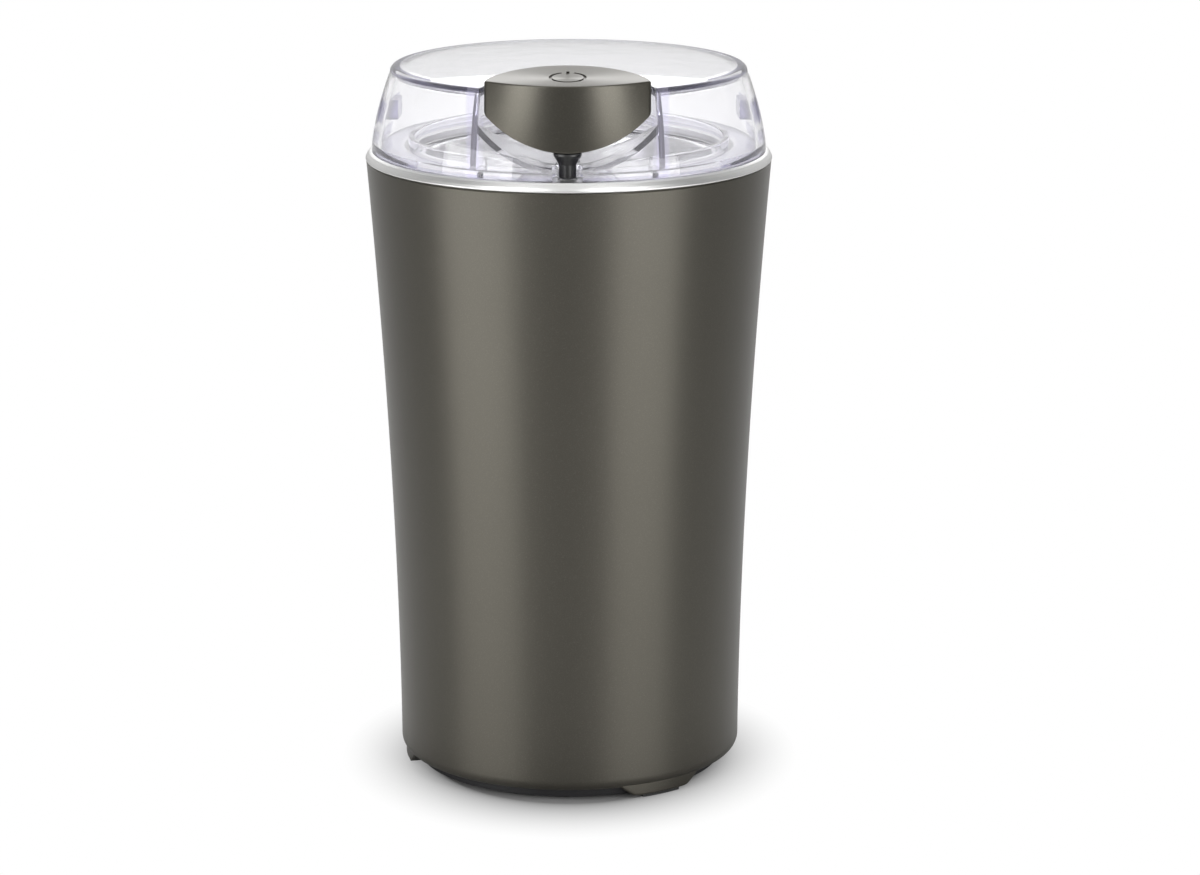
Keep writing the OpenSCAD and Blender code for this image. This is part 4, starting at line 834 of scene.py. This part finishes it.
def makeBlade():
    b = blade
    bend = math.radians(b["bend"])
    bm = bmesh.new()

    def wingAt(s):
        # front and rear edges of the wing at a distance s along it
        end = b["flat"] + b["tip"]
        t = max((s - b["flat"]) / b["tip"], 0)
        cut = max((s - end + b["tipRun"]) / b["tipRun"], 0)
        front = -b["w"] / 2 + b["w"] / 2 * t ** b["sweep"]
        rear = b["w"] * (b["rearShare"] - b["tipCut"] * cut ** 2)
        return front, rear

    for side in (1, -1):
        rings = []
        count = 40
        for k in range(count + 1):
            s = (b["flat"] + b["tip"] * 0.985) * k / count
            run = s - b["flat"]
            turn = min(max((run / b["bendSoft"] + 1) / 2, 0), 1)
            a = bend * turn * turn * (3 - 2 * turn)
            # centre line: flat, then rising along the bent tip
            along = s if run < 0 else b["flat"] + run * math.cos(bend)
            up = 0 if run < 0 else run * math.sin(bend)
            front, rear = wingAt(s)
            # the leading edge is ground thin along the outer wing
            ground = min(max((s - b["grindFrom"]) / b["grindRun"], 0), 1)
            thick, edgeT = b["t"], b["t"] * (1 - b["grind"] * ground)
            bevelEnd = min(front + b["bevel"], (front + rear) / 2)
            section = [(front, 0), (rear, 0), (rear, thick), (bevelEnd, thick), (front, edgeT)]
            rings.append([bm.verts.new((side * (along - v * math.sin(a)) * mm, side * y * mm,
                                        (b["z"] + up + v * math.cos(a)) * mm)) for y, v in section])
        joinRings(bm, rings)
    wings = newPiece("cutting_blade", bm, 25)
    hub = lathePiece("hub", roundedLoop([
        (0, b["z"], 0), (b["hubR"], b["z"], 0.15), (b["hubR"], b["z"] + b["t"], 0.2),
        (0, b["z"] + b["t"], 0)]), 96, closed=False)
    carve(wings, hub, "UNION")
    carve(wings, rodPiece("eye", b["holeR"], b["z"] - 2, b["z"] + 4))
    resharpen(wings, 25)
    dress(wings, bladeSteel, "rotor", "blade_steel", "blade")


makeBlade()

nut = {"z": 113.1, "h": 3.0, "corner": 4.6, "capR": 3.4, "capH": 1.6, "boreR": 2.51}


def makeNut():
    n = nut
    hexagon = [arcPoint((0, 0), n["corner"], 60 * k) for k in range(6)]
    top = n["z"] + n["h"]
    body = prismPiece("blade_cap_nut", hexagon, n["z"], top)
    # the corners are turned off at the top, as on a real cap nut
    turned = lathePiece("turned", [(0, n["z"] - 1), (n["corner"] + 1, n["z"] - 1), (n["corner"] + 1, top - 1.2),
                                   (n["corner"] - 0.75, top), (0, top)], 96)
    carve(body, turned, "INTERSECT")
    dome = [(0, top - 0.5), (n["capR"], top - 0.5)]
    for k in range(17):
        a = math.radians(90 * k / 16)
        dome.append((n["capR"] * math.cos(a), top + n["capH"] * math.sin(a)))
    carve(body, lathePiece("dome", dome, 96, closed=False), "UNION")
    carve(body, rodPiece("bore", n["boreR"], n["z"] - 1, top + 0.02))
    resharpen(body, 28)
    dress(body, screwSteel, "rotor", "screw_steel", "blade_nut")


makeNut()

# turned pieces round the shaft: name, finish, body, slot, CAD node, outline with radii
turnedPieces = [
    ("blade_spacer", bladeSteel, "rotor", "blade_steel", "blade_collar",
     [(2.51, 108.5, 0), (5.5, 108.5, 0.3), (5.5, 111.5, 0.3), (2.51, 111.5, 0)]),
    ("shaft_lip_seal", rubber, "housing", "rubber", "shaft_seal",
     [(2.8, 104.0, 0), (5.0, 104.0, 0.3), (5.0, 107.0, 0), (8.5, 107.0, 0), (8.5, 108.2, 0.5),
      (4.2, 108.2, 0.3), (3.6, 107.6, 0.3), (2.8, 107.9, 0.2)]),
]
for name, finish, body, slotName, node, outline in turnedPieces:
    dress(lathePiece(name, roundedLoop(outline), 128), finish, body, slotName, node)
print("blade set made")

studio = {"floorR": 6.0, "floorTone": 0.8, "paintedShadowTone": 0.25, "paintedShadowStart": 0.041, "paintedShadowEnd": 0.067,
          "paintedShadowNarrow": 1.18, "paintedShadowPower": 0.6, "front": 0.3, "back": 0.9, "panels": {
              "stripLeft": {"turn": -52, "far": 0.42, "high": 0.095, "size": (0.33, 0.28), "power": 1.22},
              "stripRight": {"turn": 44, "far": 0.42, "high": 0.08, "size": (0.3, 0.26), "power": 1.0},
              "panelLeft": {"turn": -31, "far": 0.42, "high": 0.46, "size": (0.14, 0.2), "power": 0.82},
              "panelRight": {"turn": 27, "far": 0.42, "high": 0.46, "size": (0.14, 0.2), "power": 0.85}},
          "backPower": 7.0, "backSize": (1.6, 0.7), "backPlace": (0, 1.3, 0.85),
          "topPower": 4.0, "topSize": (1.2, 1.2), "topPlace": (0, -0.1, 1.5)}


def makeStudio():
    st = studio
    floor = lathePiece("studio_floor", [(0, 0), (400, 0), (1200, 0), (st["floorR"] / mm, 0)], 96, closed=False)
    cloth = Finish("floorPaper", Roughness=0.9, Specular_IOR_Level=0.2)
    # painted contact shadow: the floor is painted darker round the base, narrower across X
    x, y = cloth.axis("X") * st["paintedShadowNarrow"], cloth.axis("Y")
    outsidePaintedShadow = (((x * x + y * y).root() - st["paintedShadowStart"]) / (st["paintedShadowEnd"] - st["paintedShadowStart"])).clamp()
    tone = (outsidePaintedShadow * outsidePaintedShadow * 0.9 + cloth.noise(3.0, 2.0) * 0.1).clamp()
    cloth.set("Base_Color", cloth.blend(tone, (st["paintedShadowTone"],) * 3, (st["floorTone"],) * 3))
    # near the base the white emission is held back, so the painted shadow stays dark; farther out the floor
    # turns white
    cloth.surface(cloth.mixed(outsidePaintedShadow ** st["paintedShadowPower"] * cloth.seen(), cloth.shader, cloth.node("Emission")))
    floor.data.materials.append(cloth.material)

    world = bpy.data.worlds.new("studioWorld")
    bpy.context.scene.world = world
    world.use_nodes = True
    web = Web(world.node_tree)
    depth = web.node("SeparateXYZ", inputs={0: web.node("TexCoord", out="Generated")}, out="Y")
    # the room is brighter behind the object than in front of it
    level = (depth * 1.6 + 0.15).clamp() * (st["back"] - st["front"]) + st["front"]
    room = web.node("Background", inputs={"Strength": level})
    web.node("OutputWorld", inputs={"Surface": web.mixed(web.seen(), room, web.node("Background"))})

    def softbox(name, place, target, size, power):
        lamp = bpy.data.lights.new(name, "AREA")
        lamp.shape = "RECTANGLE"
        lamp.size, lamp.size_y = size
        lamp.energy = power
        holder = bpy.data.objects.new(name, lamp)
        holder.location = place
        holder.rotation_euler = (Vector(target) - Vector(place)).to_track_quat("-Z", "Y").to_euler()
        bpy.context.scene.collection.objects.link(holder)

    # two broad strips left and right light the body, two panels above them the button
    for name, p in st["panels"].items():
        turn = math.radians(p["turn"])
        softbox(name, (p["far"] * math.sin(turn), -p["far"] * math.cos(turn), p["high"]), (0, 0, p["high"]),
                p["size"], p["power"])
    softbox("softboxBack", st["backPlace"], (0, 0, 0.15), st["backSize"], st["backPower"])
    softbox("softboxTop", st["topPlace"], (0, 0, 0.1), st["topSize"], st["topPower"])


makeStudio()

view = {"place": (0.0075, -1.0, 0.3253), "pitch": 76.25, "lens": 125.87}
lens = bpy.data.cameras.new("camera")
lens.lens = view["lens"]
lens.sensor_width = 36
camera = bpy.data.objects.new("camera", lens)
camera.location = view["place"]
camera.rotation_euler = (math.radians(view["pitch"]), 0, 0)
bpy.context.scene.collection.objects.link(camera)
bpy.context.scene.camera = camera
bpy.context.scene.view_settings.view_transform = "Standard"
print("studio set")
